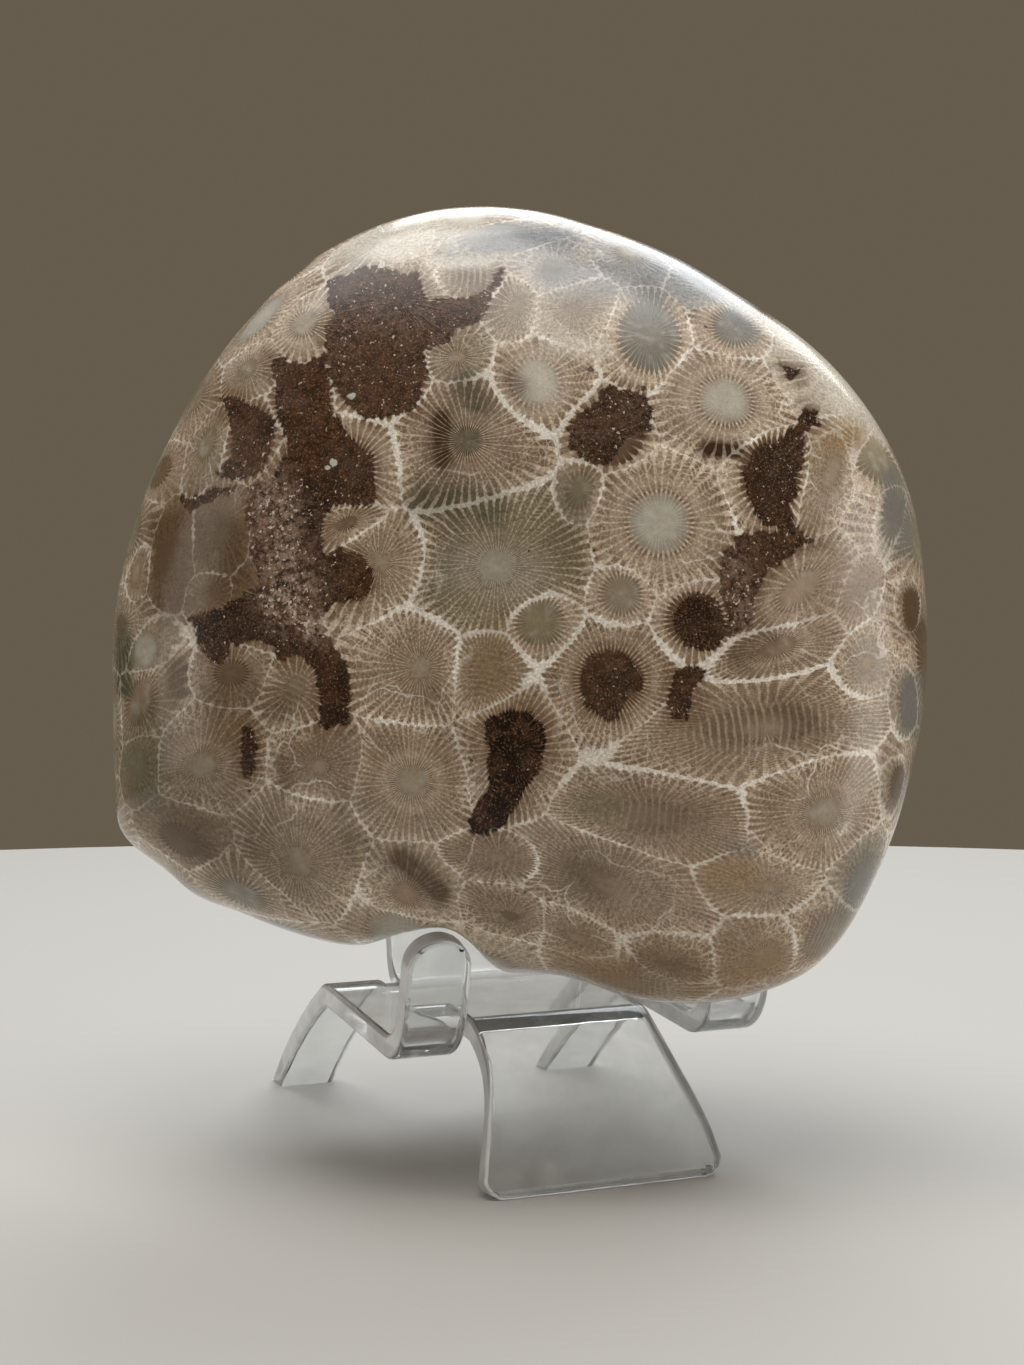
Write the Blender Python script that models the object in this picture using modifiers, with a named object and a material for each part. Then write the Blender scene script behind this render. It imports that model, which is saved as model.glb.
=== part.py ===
"""Fossil coral head standing on a clear one-piece stand.

Metres, +Z up, ground at z = 0.  The polished face of the coral looks along -Y.
The stand is turned about Z beneath it, so its left tab sits in a notch of the coral's
lower edge and its right tab is hidden behind the coral's lower lip.
"""

import math

import bpy
import bmesh
from mathutils import Matrix, Vector

MM = 0.001

# ---- coral head: millimetres and degrees --------------------------------------------
HEAD_CENTRE = (0.2, -12.4, 60.1)      # middle of its outline
HEAD_LEAN = 14.0                      # leans back from upright
FACE_DEPTH = 20.0                     # from the outline forward to the crown of the face
BACK_DEPTH = 23.1                     # from the outline back to the crown of the back
HEAD_OUTLINE = (                      # (angle up from +X, radius), square on to the face
    (0, 43.3), (18, 43.5), (36, 42.7), (54, 41.4), (66, 41.8), (78, 42.6),
    (90, 44.1), (104, 45.1), (120, 44.8), (134, 43.4), (150, 42.4), (165, 42.5),
    (180, 43.5), (194, 44.9), (204, 47.1), (210, 48.8), (217, 47.1), (222, 46.3),
    (228, 44.2), (240, 41.4), (252, 38.9), (264, 39.3), (276, 39.8), (287, 44.1),
    (296, 47.1), (306, 49.1), (312, 48.9), (322, 47.1), (336, 45.0), (348, 43.9))
MEAN_RADIUS = 44.5                    # the outline's bends fade to this circle inwards
RIM_SOFT = 0.76                       # power of the profile: 1 is round, less is squarer
RIM_SOFT_SWING = 0.08                 # squarer on the side at RIM_SQUARE_AT
RIM_SQUARE_AT = 20.0
BACK_SOFT = 0.86
LIP_SHIFT, LIP_ANGLE, LIP_SPREAD = 4.0, 300.0, 36.0   # lower lip stands forward
LUMP_HEIGHT = 0.35                    # slow unevenness left by hand grinding
LUMP_LENGTHS = (8.5, 11.0, 14.0)
HEAD_STEPS_ROUND = 84
HEAD_STEPS_DEEP = 36

# ---- where the coral rests on the tabs ----------------------------------------------
REST_GAP = 0.3
NOTCH_FALLS = (0.06, 0.155)            # how fast the notch drops to its left and right
NOTCH_RISE = 0.18                     # and climbs towards the face
LEDGE_START, LEDGE_END = -25.4, -18.9   # Y range over which the underside steps up
LEDGE_LOW = 17.0
LEDGE_FADE = (0.5, 12.5)              # X range over which the ledge comes in
REST_SOFTNESS = 1.0

# ---- stand: millimetres and degrees, lateral x, forward F, up z ---------------------
STAND_TURN = 21.14
STAND_PLACE = (-10.6, 26.2)           # middle of the rear soles
SHEET = 2.7
STAND_WIDTH = 42.0
STRIP_WIDTH = 7.0
PLATE_REAR, PLATE_FRONT = 23.5, 33.0  # the part of the sheet that has no slits
PLATE_HEIGHT = 15.45                  # middle of the sheet at its rear edge
PLATE_FALL = 2.5
BACKREST_HALF = 12.2
NECK_HALF = 10.4
FOOT_HALF = 13.6
FOOT_CORNER = 2.5
TAB_TOP = 27.7
BACKREST_CORNER = 6.0
EDGE_ROUND = 0.45
EDGE_FROM = 50.0                      # edges sharper than this are rounded

# side view of each strip: (length, 0) is straight, (radius, turn in degrees) is a bend
TAB_MOVES = ((11.2, 0), (5.5, 77.5))
LEG_MOVES = ((0.8, 0), (4.0, 30.0), (90.0, 16.0))
FOOT_MOVES = ((8.0, 0), (3.0, -22.0), (21.5, -56.0))
BACKREST_MOVES = ((0.8, 0), (4.0, -79.0), (32.0, 0))
ARC_STEP = 6.0
CORNER_STEPS = 5                      # rows across a rounded end
CORNER_SWEEP = 82.0                   # how much of a quarter circle is drawn
CORNER_SHORT = 0.05                   # a tab's end stays this short of a half circle
ROW_GAP = 0.5                         # least length between two rows
STRIP_COLUMNS = 6
TONGUE_COLUMNS = 8
BELOW_GROUND = 2.0                    # legs and foot run on below, then are cut off flat
CUTTER_SIZE = (200.0, 200.0, 20.0)

STONE_COLOUR = (0.42, 0.37, 0.31, 1.0)
CLEAR_COLOUR = (0.93, 0.96, 0.97, 1.0)


def clear_scene():
    for old in list(bpy.data.objects):
        bpy.data.objects.remove(old, do_unlink=True)


def new_collection(name):
    group = bpy.data.collections.new(name)
    bpy.context.scene.collection.children.link(group)
    return group


def new_material(name, colour, roughness, transmission=0.0, ior=1.5):
    material = bpy.data.materials.new(name)
    material.use_nodes = True
    shader = material.node_tree.nodes["Principled BSDF"]
    shader.inputs["Base Color"].default_value = colour
    shader.inputs["Roughness"].default_value = roughness
    shader.inputs["Metallic"].default_value = 0.0
    shader.inputs["Transmission Weight"].default_value = transmission
    shader.inputs["IOR"].default_value = ior
    material.diffuse_color = colour
    return material


def smooth_step(value, low, high):
    share = min(max((value - low) / (high - low), 0.0), 1.0)
    return share * share * (3.0 - 2.0 * share)


def soft_max(a, b, softness):
    return 0.5 * (a + b + math.sqrt((a - b) ** 2 + softness ** 2))


# ---- coral head ---------------------------------------------------------------------

def outline_radius(angle):
    """Smooth closed curve through HEAD_OUTLINE: a cubic between each two angles."""
    angle %= 360.0
    count = len(HEAD_OUTLINE)
    for index in range(count):
        a1, r1 = HEAD_OUTLINE[index]
        a2, r2 = HEAD_OUTLINE[(index + 1) % count]
        a2 += 360.0 if index == count - 1 else 0.0
        if a1 <= angle < a2:
            break
    a0, r0 = HEAD_OUTLINE[index - 1]
    a3, r3 = HEAD_OUTLINE[(index + 2) % count]
    a0 -= 360.0 if a0 > a1 else 0.0
    a3 += 360.0 if a3 < a2 else 0.0
    span = a2 - a1
    slope1 = (r2 - r0) / (a2 - a0) * span
    slope2 = (r3 - r1) / (a3 - a1) * span
    t = (angle - a1) / span
    return (r1 * (2 * t ** 3 - 3 * t ** 2 + 1) + slope1 * (t ** 3 - 2 * t ** 2 + t)
            + r2 * (3 * t ** 2 - 2 * t ** 3) + slope2 * (t ** 3 - t ** 2))


def lump_height(x, up):
    """Three crossed waves, a few tenths of a millimetre high."""
    a, b, c = LUMP_LENGTHS
    waves = (math.sin(x / a + 1.0) * math.sin(up / b + 2.0)
             + math.sin((x + up) / c) + math.sin((x - 2.0 * up) / (a + b)))
    return LUMP_HEIGHT * waves / 2.0


def tab_centre(side):
    """Top of a tab in world millimetres: side is -1 for the left one, 1 for the right."""
    lateral = side * (STAND_WIDTH - STRIP_WIDTH) / 2.0
    forward = tab_path()[-1][0]
    turn = math.radians(STAND_TURN)
    x = STAND_PLACE[0] + lateral * math.cos(turn) + forward * math.sin(turn)
    y = STAND_PLACE[1] + lateral * math.sin(turn) - forward * math.cos(turn)
    return x, y


def underside_floor(x, y):
    """Lowest the coral may reach over the tabs: a notch at the left, a ledge at the right."""
    ceiling = TAB_TOP + REST_GAP
    notch_x, notch_y = tab_centre(-1)
    fall = NOTCH_FALLS[0] if x < notch_x else NOTCH_FALLS[1]
    notch = ceiling + NOTCH_RISE * max(0.0, notch_y - y) - fall * (x - notch_x) ** 2
    step_up = smooth_step(y, LEDGE_START, LEDGE_END) * smooth_step(x, *LEDGE_FADE)
    ledge = LEDGE_LOW + (ceiling - LEDGE_LOW) * step_up
    return max(notch, ledge)


def head_point(azimuth, latitude):
    """Point of the coral: its outline, rounder and smaller towards the face and the back."""
    towards_face = latitude > 0.0
    swing = math.cos(math.radians(azimuth - RIM_SQUARE_AT))
    power = RIM_SOFT - RIM_SOFT_SWING * swing if towards_face else BACK_SOFT
    inward = max(math.cos(math.radians(latitude)), 0.0) ** power
    crown = math.sin(math.radians(abs(latitude))) ** power
    radius = MEAN_RADIUS + (outline_radius(azimuth) - MEAN_RADIUS) * inward ** 2
    depth = -FACE_DEPTH * crown if towards_face else BACK_DEPTH * crown
    off_lip = (azimuth % 360.0 - LIP_ANGLE) / LIP_SPREAD
    depth -= LIP_SHIFT * math.exp(-off_lip ** 2) * inward ** 4
    across = radius * inward * math.cos(math.radians(azimuth))
    up = radius * inward * math.sin(math.radians(azimuth))
    swell = lump_height(across, up)
    depth += -swell * crown if towards_face else swell * crown
    lean = math.radians(HEAD_LEAN)
    x = HEAD_CENTRE[0] + across
    y = HEAD_CENTRE[1] + depth * math.cos(lean) + up * math.sin(lean)
    z = HEAD_CENTRE[2] + up * math.cos(lean) - depth * math.sin(lean)
    z = soft_max(z, underside_floor(x, y), REST_SOFTNESS)
    return Vector((x, y, z)) * MM


def make_coral_head(group, material):
    """A UV sphere whose poles are the crowns of the face and the back, then shaped."""
    mesh = bpy.data.meshes.new("coral_head")
    bm = bmesh.new()
    bmesh.ops.create_uvsphere(
        bm, u_segments=HEAD_STEPS_ROUND, v_segments=HEAD_STEPS_DEEP, radius=1.0)
    for vert in bm.verts:
        azimuth = math.degrees(math.atan2(vert.co.y, vert.co.x))
        latitude = math.degrees(math.asin(max(-1.0, min(1.0, vert.co.z))))
        vert.co = head_point(azimuth, latitude)
    bm.to_mesh(mesh)
    bm.free()
    mesh.shade_smooth()
    mesh.materials.append(material)
    head = bpy.data.objects.new("coral_head", mesh)
    group.objects.link(head)
    return head


# ---- stand --------------------------------------------------------------------------

def bend_path(start, heading, moves):
    """Side view of a bent strip: each move is (length, 0) or (radius, turn in degrees)."""
    forward, up = start
    points = [(forward, up)]
    for size, turn in moves:
        steps = max(1, round(abs(turn) / ARC_STEP))
        for _ in range(steps):
            if turn:
                chord = 2.0 * size * math.sin(math.radians(abs(turn) / steps / 2.0))
            else:
                chord = size
            heading += turn / steps / 2.0
            forward += chord * math.cos(math.radians(heading))
            up += chord * math.sin(math.radians(heading))
            heading += turn / steps / 2.0
            points.append((forward, up))
    return points


def plate_point(forward):
    drop = (forward - PLATE_REAR) * math.tan(math.radians(PLATE_FALL))
    return forward, PLATE_HEIGHT - drop


def tab_path():
    """Seat, upward bend and tab, up to the tab's top."""
    start = plate_point(PLATE_FRONT)
    bent = bend_path(start, -PLATE_FALL, TAB_MOVES)
    lean = math.radians(TAB_MOVES[-1][1] - PLATE_FALL)
    end_height = TAB_TOP - SHEET / 2.0 * math.cos(lean)
    straight = (end_height - bent[-1][1]) / math.sin(lean)
    return bend_path(start, -PLATE_FALL, TAB_MOVES + ((straight, 0),))


def leg_path():
    """Rear leg, down to below the ground."""
    path = bend_path(plate_point(PLATE_REAR), 180.0 - PLATE_FALL, LEG_MOVES)
    return path_to_height(path, -BELOW_GROUND)


def foot_path():
    """Seat, nose and front foot, down to below the ground."""
    path = bend_path(plate_point(PLATE_FRONT), -PLATE_FALL, FOOT_MOVES)
    return path_to_height(path, -BELOW_GROUND)


def backrest_path():
    """Upward bend and backrest."""
    return bend_path(plate_point(PLATE_REAR), 180.0 - PLATE_FALL, BACKREST_MOVES)


def path_to_height(path, height):
    """Carries the last run of a path on to a height."""
    (f1, z1), (f2, z2) = path[-2], path[-1]
    share = (height - z1) / (z2 - z1)
    return path[:-1] + [(f1 + (f2 - f1) * share, height)]


def run_lengths(path):
    lengths = [0.0]
    for (f1, z1), (f2, z2) in zip(path, path[1:]):
        lengths.append(lengths[-1] + math.hypot(f2 - f1, z2 - z1))
    return lengths


def rounded_end(path, half_width, corner):
    """Stations (point, half width) of a tongue whose far end has rounded corners."""
    lengths = run_lengths(path)
    total = lengths[-1]
    stops = [s for s in lengths[1:] if s < total - corner - ROW_GAP]
    for step in range(CORNER_STEPS + 1):
        angle = math.radians(CORNER_SWEEP * step / CORNER_STEPS)
        stops.append(total - corner + corner * math.sin(angle))
    stations = []
    for stop in stops:
        into = max(0.0, stop - (total - corner))
        inset = corner - math.sqrt(corner ** 2 - into ** 2)
        stations.append((point_at(path, lengths, stop), half_width - inset))
    return stations


def point_at(path, lengths, stop):
    for (f1, z1), (f2, z2), s1, s2 in zip(path, path[1:], lengths, lengths[1:]):
        if stop <= s2:
            break
    share = (stop - s1) / (s2 - s1)
    return f1 + (f2 - f1) * share, z1 + (z2 - z1) * share


def foot_stations(path):
    """Front foot: flares from the neck to the ground and has rounded lower corners."""
    lengths = run_lengths(path)
    top = plate_point(PLATE_FRONT)[1]
    on_ground = next(s1 + (s2 - s1) * z1 / (z1 - z2) for (f1, z1), (f2, z2), s1, s2
                     in zip(path, path[1:], lengths, lengths[1:]) if z2 < 0.0)
    stops = [s for s in lengths[1:] if s < on_ground - FOOT_CORNER - ROW_GAP]
    for step in range(CORNER_STEPS):
        angle = math.radians(90.0 * step / (CORNER_STEPS - 1))
        stops.append(on_ground - FOOT_CORNER + FOOT_CORNER * math.sin(angle))
    stops.append(lengths[-1])
    stations = []
    for stop in stops:
        forward, up = point_at(path, lengths, stop)
        flare = NECK_HALF + (FOOT_HALF - NECK_HALF) * smooth_step(top - up, 1.0, top)
        into = min(max(0.0, stop - (on_ground - FOOT_CORNER)), FOOT_CORNER)
        inset = FOOT_CORNER - math.sqrt(FOOT_CORNER ** 2 - into ** 2)
        stations.append(((forward, up), flare - inset))
    return stations


def even_shares(count):
    """Places across a strip from -1 to 1."""
    return [2.0 * index / count - 1.0 for index in range(count + 1)]


def plain_stations(path, half_width):
    return [(point, half_width) for point in path[1:]]


def stand_world(lateral, forward, up):
    spin = Matrix.Rotation(math.radians(STAND_TURN), 4, "Z")
    place = Vector((STAND_PLACE[0], STAND_PLACE[1], 0.0))
    return (spin @ Vector((lateral, -forward, up)) + place) * MM


def grow_tongue(bm, root, middle, shares, stations):
    """Carries a row of vertices along the stations, and faces it to the row before."""
    row = root
    for (forward, up), half_width in stations:
        new_row = [bm.verts.new(stand_world(middle + share * half_width, forward, up))
                   for share in shares]
        for index in range(len(shares) - 1):
            bm.faces.new((row[index], row[index + 1], new_row[index + 1], new_row[index]))
        row = new_row


def make_sheet(bm):
    """The whole stand as one thin sheet: a plate, two strips and a tongue, all bent."""
    strip_shares = even_shares(STRIP_COLUMNS)
    tongue_shares = even_shares(TONGUE_COLUMNS)
    strip_middle = (STAND_WIDTH - STRIP_WIDTH) / 2.0
    strip_half = STRIP_WIDTH / 2.0
    left = [-strip_middle + share * strip_half for share in strip_shares]
    right = [strip_middle + share * strip_half for share in strip_shares]
    rows = []
    for forward, half_width in ((PLATE_REAR, BACKREST_HALF), (PLATE_FRONT, NECK_HALF)):
        columns = left + [share * half_width for share in tongue_shares] + right
        rows.append([bm.verts.new(stand_world(x, *plate_point(forward))) for x in columns])
    rear, front = rows
    for index in range(len(rear) - 1):
        bm.faces.new((rear[index], rear[index + 1], front[index + 1], front[index]))
    strip_count = len(strip_shares)
    tab = rounded_end(tab_path(), strip_half, strip_half - CORNER_SHORT)
    leg = plain_stations(leg_path(), strip_half)
    spans = ((-strip_middle, slice(0, strip_count)),
             (strip_middle, slice(len(rear) - strip_count, None)))
    for middle, span in spans:
        grow_tongue(bm, front[span], middle, strip_shares, tab)
        grow_tongue(bm, rear[span], middle, strip_shares, leg)
    tongue = slice(strip_count, len(rear) - strip_count)
    grow_tongue(bm, front[tongue], 0.0, tongue_shares, foot_stations(foot_path()))
    rest = rounded_end(backrest_path(), BACKREST_HALF, BACKREST_CORNER)
    grow_tongue(bm, rear[tongue], 0.0, tongue_shares, rest)
    bmesh.ops.recalc_face_normals(bm, faces=bm.faces)


def make_ground_cutter(group):
    """Everything below the ground, to saw the soles flat."""
    mesh = bpy.data.meshes.new("ground_cutter")
    bm = bmesh.new()
    bmesh.ops.create_cube(bm, size=1.0)
    bmesh.ops.translate(bm, verts=bm.verts, vec=(0.0, 0.0, -0.5))
    bmesh.ops.scale(bm, verts=bm.verts, vec=Vector(CUTTER_SIZE) * MM)
    bm.to_mesh(mesh)
    bm.free()
    cutter = bpy.data.objects.new("ground_cutter", mesh)
    cutter.hide_render = True
    cutter.display_type = "WIRE"
    group.objects.link(cutter)
    return cutter


def make_stand(group, material, ground):
    mesh = bpy.data.meshes.new("acrylic_stand")
    bm = bmesh.new()
    make_sheet(bm)
    bm.to_mesh(mesh)
    bm.free()
    mesh.shade_smooth()
    mesh.materials.append(material)
    stand = bpy.data.objects.new("acrylic_stand", mesh)
    group.objects.link(stand)
    wall = stand.modifiers.new("sheet thickness", "SOLIDIFY")
    wall.thickness = SHEET * MM
    wall.offset = 0.0
    wall.use_even_offset = True
    edge = stand.modifiers.new("moulded edges", "BEVEL")
    edge.width = EDGE_ROUND * MM
    edge.segments = 2
    edge.limit_method = "ANGLE"
    edge.angle_limit = math.radians(EDGE_FROM)
    soles = stand.modifiers.new("flat soles", "BOOLEAN")
    soles.operation = "DIFFERENCE"
    soles.solver = "EXACT"
    soles.object = ground
    return stand


def main():
    clear_scene()
    parts = new_collection("fossil_coral_head")
    cutters = new_collection("cutters")
    stone = new_material("coral_stone", STONE_COLOUR, 0.2)
    clear = new_material("clear_acrylic", CLEAR_COLOUR, 0.03, transmission=1.0, ior=1.49)
    make_coral_head(parts, stone)
    make_stand(parts, clear, make_ground_cutter(cutters))


main()
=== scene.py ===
import math

import bpy
import bmesh
import numpy as np
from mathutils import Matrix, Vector


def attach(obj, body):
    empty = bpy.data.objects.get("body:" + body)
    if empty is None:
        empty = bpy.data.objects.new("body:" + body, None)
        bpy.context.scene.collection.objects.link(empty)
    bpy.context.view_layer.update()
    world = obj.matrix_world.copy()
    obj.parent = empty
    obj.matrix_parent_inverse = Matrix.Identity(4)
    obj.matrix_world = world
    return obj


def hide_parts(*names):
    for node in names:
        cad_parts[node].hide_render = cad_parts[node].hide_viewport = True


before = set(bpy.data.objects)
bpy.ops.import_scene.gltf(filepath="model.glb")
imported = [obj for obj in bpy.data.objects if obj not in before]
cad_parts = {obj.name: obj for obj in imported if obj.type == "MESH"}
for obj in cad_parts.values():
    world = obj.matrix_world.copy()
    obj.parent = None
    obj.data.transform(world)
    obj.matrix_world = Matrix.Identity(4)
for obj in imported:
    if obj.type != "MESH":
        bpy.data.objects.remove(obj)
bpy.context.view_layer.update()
mm = 0.001  # every length below is in millimetres
farAway = 99.0
tiny = 1e-6
print("frame loaded")

camera = {
    "place": (-0.7, -245.4, 67.1),
    "tiltDown": 3.667,  # degrees
    "focal": 56.545,
    "sensor": 36.0,  # on the long side
    "clipStart": 10.0,
}

coral = {
    "centre": (0.2, -12.4, 60.1),
    "lean": 14.0,  # degrees back from upright
    "faceDepth": 20.0,
    "backDepth": 23.1,
    "outline": (  # angle up from +X, radius
        (0, 43.3), (18, 43.5), (36, 42.7), (54, 41.4), (66, 41.8), (78, 42.6),
        (90, 44.1), (104, 45.1), (120, 44.8), (134, 43.4), (150, 42.4), (165, 42.5),
        (180, 43.5), (194, 44.9), (204, 47.1), (210, 48.8), (217, 47.1), (222, 46.3),
        (228, 44.2), (240, 41.4), (252, 38.9), (264, 39.3), (276, 39.8), (287, 44.1),
        (296, 47.1), (306, 49.1), (312, 48.9), (322, 47.1), (336, 45.0), (348, 43.9)),
    "meanRadius": 44.5,
    "rimSoft": 0.76,
    "rimSwing": 0.08,
    "squareAt": 20.0,
    "backSoft": 0.86,
    "lipShift": 4.0,
    "lipAngle": 300.0,
    "lipSpread": 36.0,
    "lumpHeight": 0.175,
    "lumpLengths": (8.5, 11.0, 14.0),
    "lumpShifts": (1.0, 2.0),
    "stepsAround": 400,
    "rowsBack": 66,
    "rowsFace": 154,
    "poleLatitude": 89.99,
}

coralRest = {
    "gap": 0.3,  # between the coral and the tabs
    "notchPlace": (-8.14, -28.69),  # top of the left tab
    "notchFalls": (0.06, 0.155),
    "notchRise": 0.18,
    "ledgeY": (-25.4, -18.9),
    "ledgeX": (0.5, 12.5),
    "ledgeLow": 17.0,
    "softness": 1.0,
}

stand = {
    "turn": 21.14,  # degrees
    "place": (-10.6, 26.2),  # middle of the rear soles
    "sheet": 2.7,
    "width": 42.0,
    "stripWidth": 7.0,
    "plateRear": 23.5,
    "plateFront": 33.0,
    "plateHeight": 15.45,
    "plateFall": 2.5,  # degrees, towards the front
    "tab": [(11.2, 0), (5.5, 77.5), (5.0, 0)],  # moves: a straight run, or a radius and its turn
    "leg": [(0.8, 0), (4.0, 30.0), (90.0, 16.0)],
    "foot": [(8.0, 0), (3.0, -22.0), (21.5, -56.0)],
    "backrest": [(0.8, 0), (4.0, -79.0), (32.0, 0)],
    "tabTop": 27.7,
    "tabSlope": 75.0,
    "neckHalf": 10.4,
    "footHalf": 13.6,
    "footCorner": 2.5,
    "backrestHalf": 12.2,
    "backrestCorner": 6.0,
    "stripColumns": 9,
    "tongueColumns": (0.2, 0.4, 0.6, 0.816, 0.9, 1.0),  # shares of the half width
    "arcStep": 3.0,  # degrees
    "belowGround": 2.0,
    "soleDip": 0.3,
    "rowSpace": 0.7,
    "weld": 0.02,
    "cutWeld": 0.2,
    "edgeRound": 0.5,
    "edgeSteps": 3,
    "edgeAngle": 50.0,
    "sharpAngle": 40.0,
}


def smoothStep(value, low, high):  # a cubic that rises from 0 to 1 between two values
    share = np.clip((value - low) / (high - low), 0.0, 1.0)
    return share * share * (3.0 - 2.0 * share)


# closed outline: between two angles the radius is a cubic whose slope at each angle
# is that of the chord between its two neighbours
def outlineRadius(angle):
    knots = np.array(coral["outline"], float)
    a = np.concatenate([knots[-2:, 0] - 360.0, knots[:, 0], knots[:3, 0] + 360.0])
    r = np.concatenate([knots[-2:, 1], knots[:, 1], knots[:3, 1]])
    slope = (r[2:] - r[:-2]) / (a[2:] - a[:-2])
    a, r = a[1:-1], r[1:-1]
    angle = np.mod(angle, 360.0)
    i = np.searchsorted(a, angle, side="right") - 1
    span = a[i + 1] - a[i]
    t = (angle - a[i]) / span
    return (r[i] * (2 * t**3 - 3 * t**2 + 1) + slope[i] * span * (t**3 - 2 * t**2 + t)
            + r[i + 1] * (3 * t**2 - 2 * t**3) + slope[i + 1] * span * (t**3 - t**2))


# lowest height that the coral may reach over the tabs: the higher of a notch, a parabola
# across the left tab that climbs towards the face, and a ledge behind the lower lip
def undersideFloor(x, y):
    top = stand["tabTop"] + coralRest["gap"]
    notchX, notchY = coralRest["notchPlace"]
    fall = np.where(x < notchX, *coralRest["notchFalls"])
    notch = top + coralRest["notchRise"] * np.maximum(0.0, notchY - y) - fall * (x - notchX)**2
    stepUp = smoothStep(y, *coralRest["ledgeY"]) * smoothStep(x, *coralRest["ledgeX"])
    ledge = coralRest["ledgeLow"] + (top - coralRest["ledgeLow"]) * stepUp
    return np.maximum(notch, ledge)


# point of the coral at an angle round its face and a latitude, 90 at the crown of the face:
# the outline shrinks by cos(latitude) to a power and moves out by sin(latitude) to it; three
# sine waves swell it, the lower lip leans out by a bell of the angle, all is tilted back, and
# the height is the soft greater of its own and the floor over the tabs
def coralPoint(around, latitude):
    c = coral
    onFace = latitude > 0.0
    swing = c["rimSwing"] * np.cos(np.radians(around - c["squareAt"]))
    power = np.where(onFace, c["rimSoft"] - swing, c["backSoft"])
    inward = np.maximum(np.cos(np.radians(latitude)), 0.0) ** power
    crown = np.sin(np.radians(np.abs(latitude))) ** power
    radius = c["meanRadius"] + (outlineRadius(around) - c["meanRadius"]) * inward**2
    depth = np.where(onFace, -c["faceDepth"], c["backDepth"]) * crown
    offLip = (np.mod(around, 360.0) - c["lipAngle"]) / c["lipSpread"]
    depth = depth - c["lipShift"] * np.exp(-offLip**2) * inward**4
    across = radius * inward * np.cos(np.radians(around))
    up = radius * inward * np.sin(np.radians(around))
    a, b, d = c["lumpLengths"]
    p, q = c["lumpShifts"]
    waves = (np.sin(across / a + p) * np.sin(up / b + q) + np.sin((across + up) / d)
             + np.sin((across - 2.0 * up) / (a + b)))
    swell = c["lumpHeight"] * waves * crown
    depth = depth + np.where(onFace, -swell, swell)
    lean = math.radians(c["lean"])
    x = c["centre"][0] + across
    y = c["centre"][1] + depth * math.cos(lean) + up * math.sin(lean)
    z = c["centre"][2] + up * math.cos(lean) - depth * math.sin(lean)
    low = undersideFloor(x, y)
    z = 0.5 * (z + low + np.sqrt((z - low)**2 + coralRest["softness"]**2))
    return np.stack([x, y, z], axis=-1)


# linear colours of the ground, the discs, the touches and the stains; two of them are painted
# reflection of the sky
hues = {
    "mist": (0.43, 0.405, 0.34),
    "slate": (0.20, 0.19, 0.165),
    "fog": (0.30, 0.25, 0.18),
    "olive": (0.235, 0.203, 0.122),
    "pine": (0.085, 0.082, 0.052),
    "sand": (0.36, 0.268, 0.185),
    "tan": (0.50, 0.415, 0.32),
    "rose": (0.335, 0.247, 0.178),
    "taupe": (0.28, 0.195, 0.123),
    "umber": (0.11, 0.066, 0.032),
    "pale": (0.70, 0.64, 0.54),
    # these two are painted reflection of the bright sky, laid on the top band of the face
    "blue": (0.54, 0.545, 0.545),
    "skyReflectionGrey": (0.27, 0.275, 0.28),
    "dark": (0.045, 0.021, 0.009),
    "amber": (0.31, 0.20, 0.10),
    "grit": (0.43, 0.305, 0.235),
    "clay": (0.165, 0.098, 0.066),
    "rust": (0.11, 0.042, 0.014),
    "pitch": (0.010, 0.004, 0.0015),
}
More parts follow.
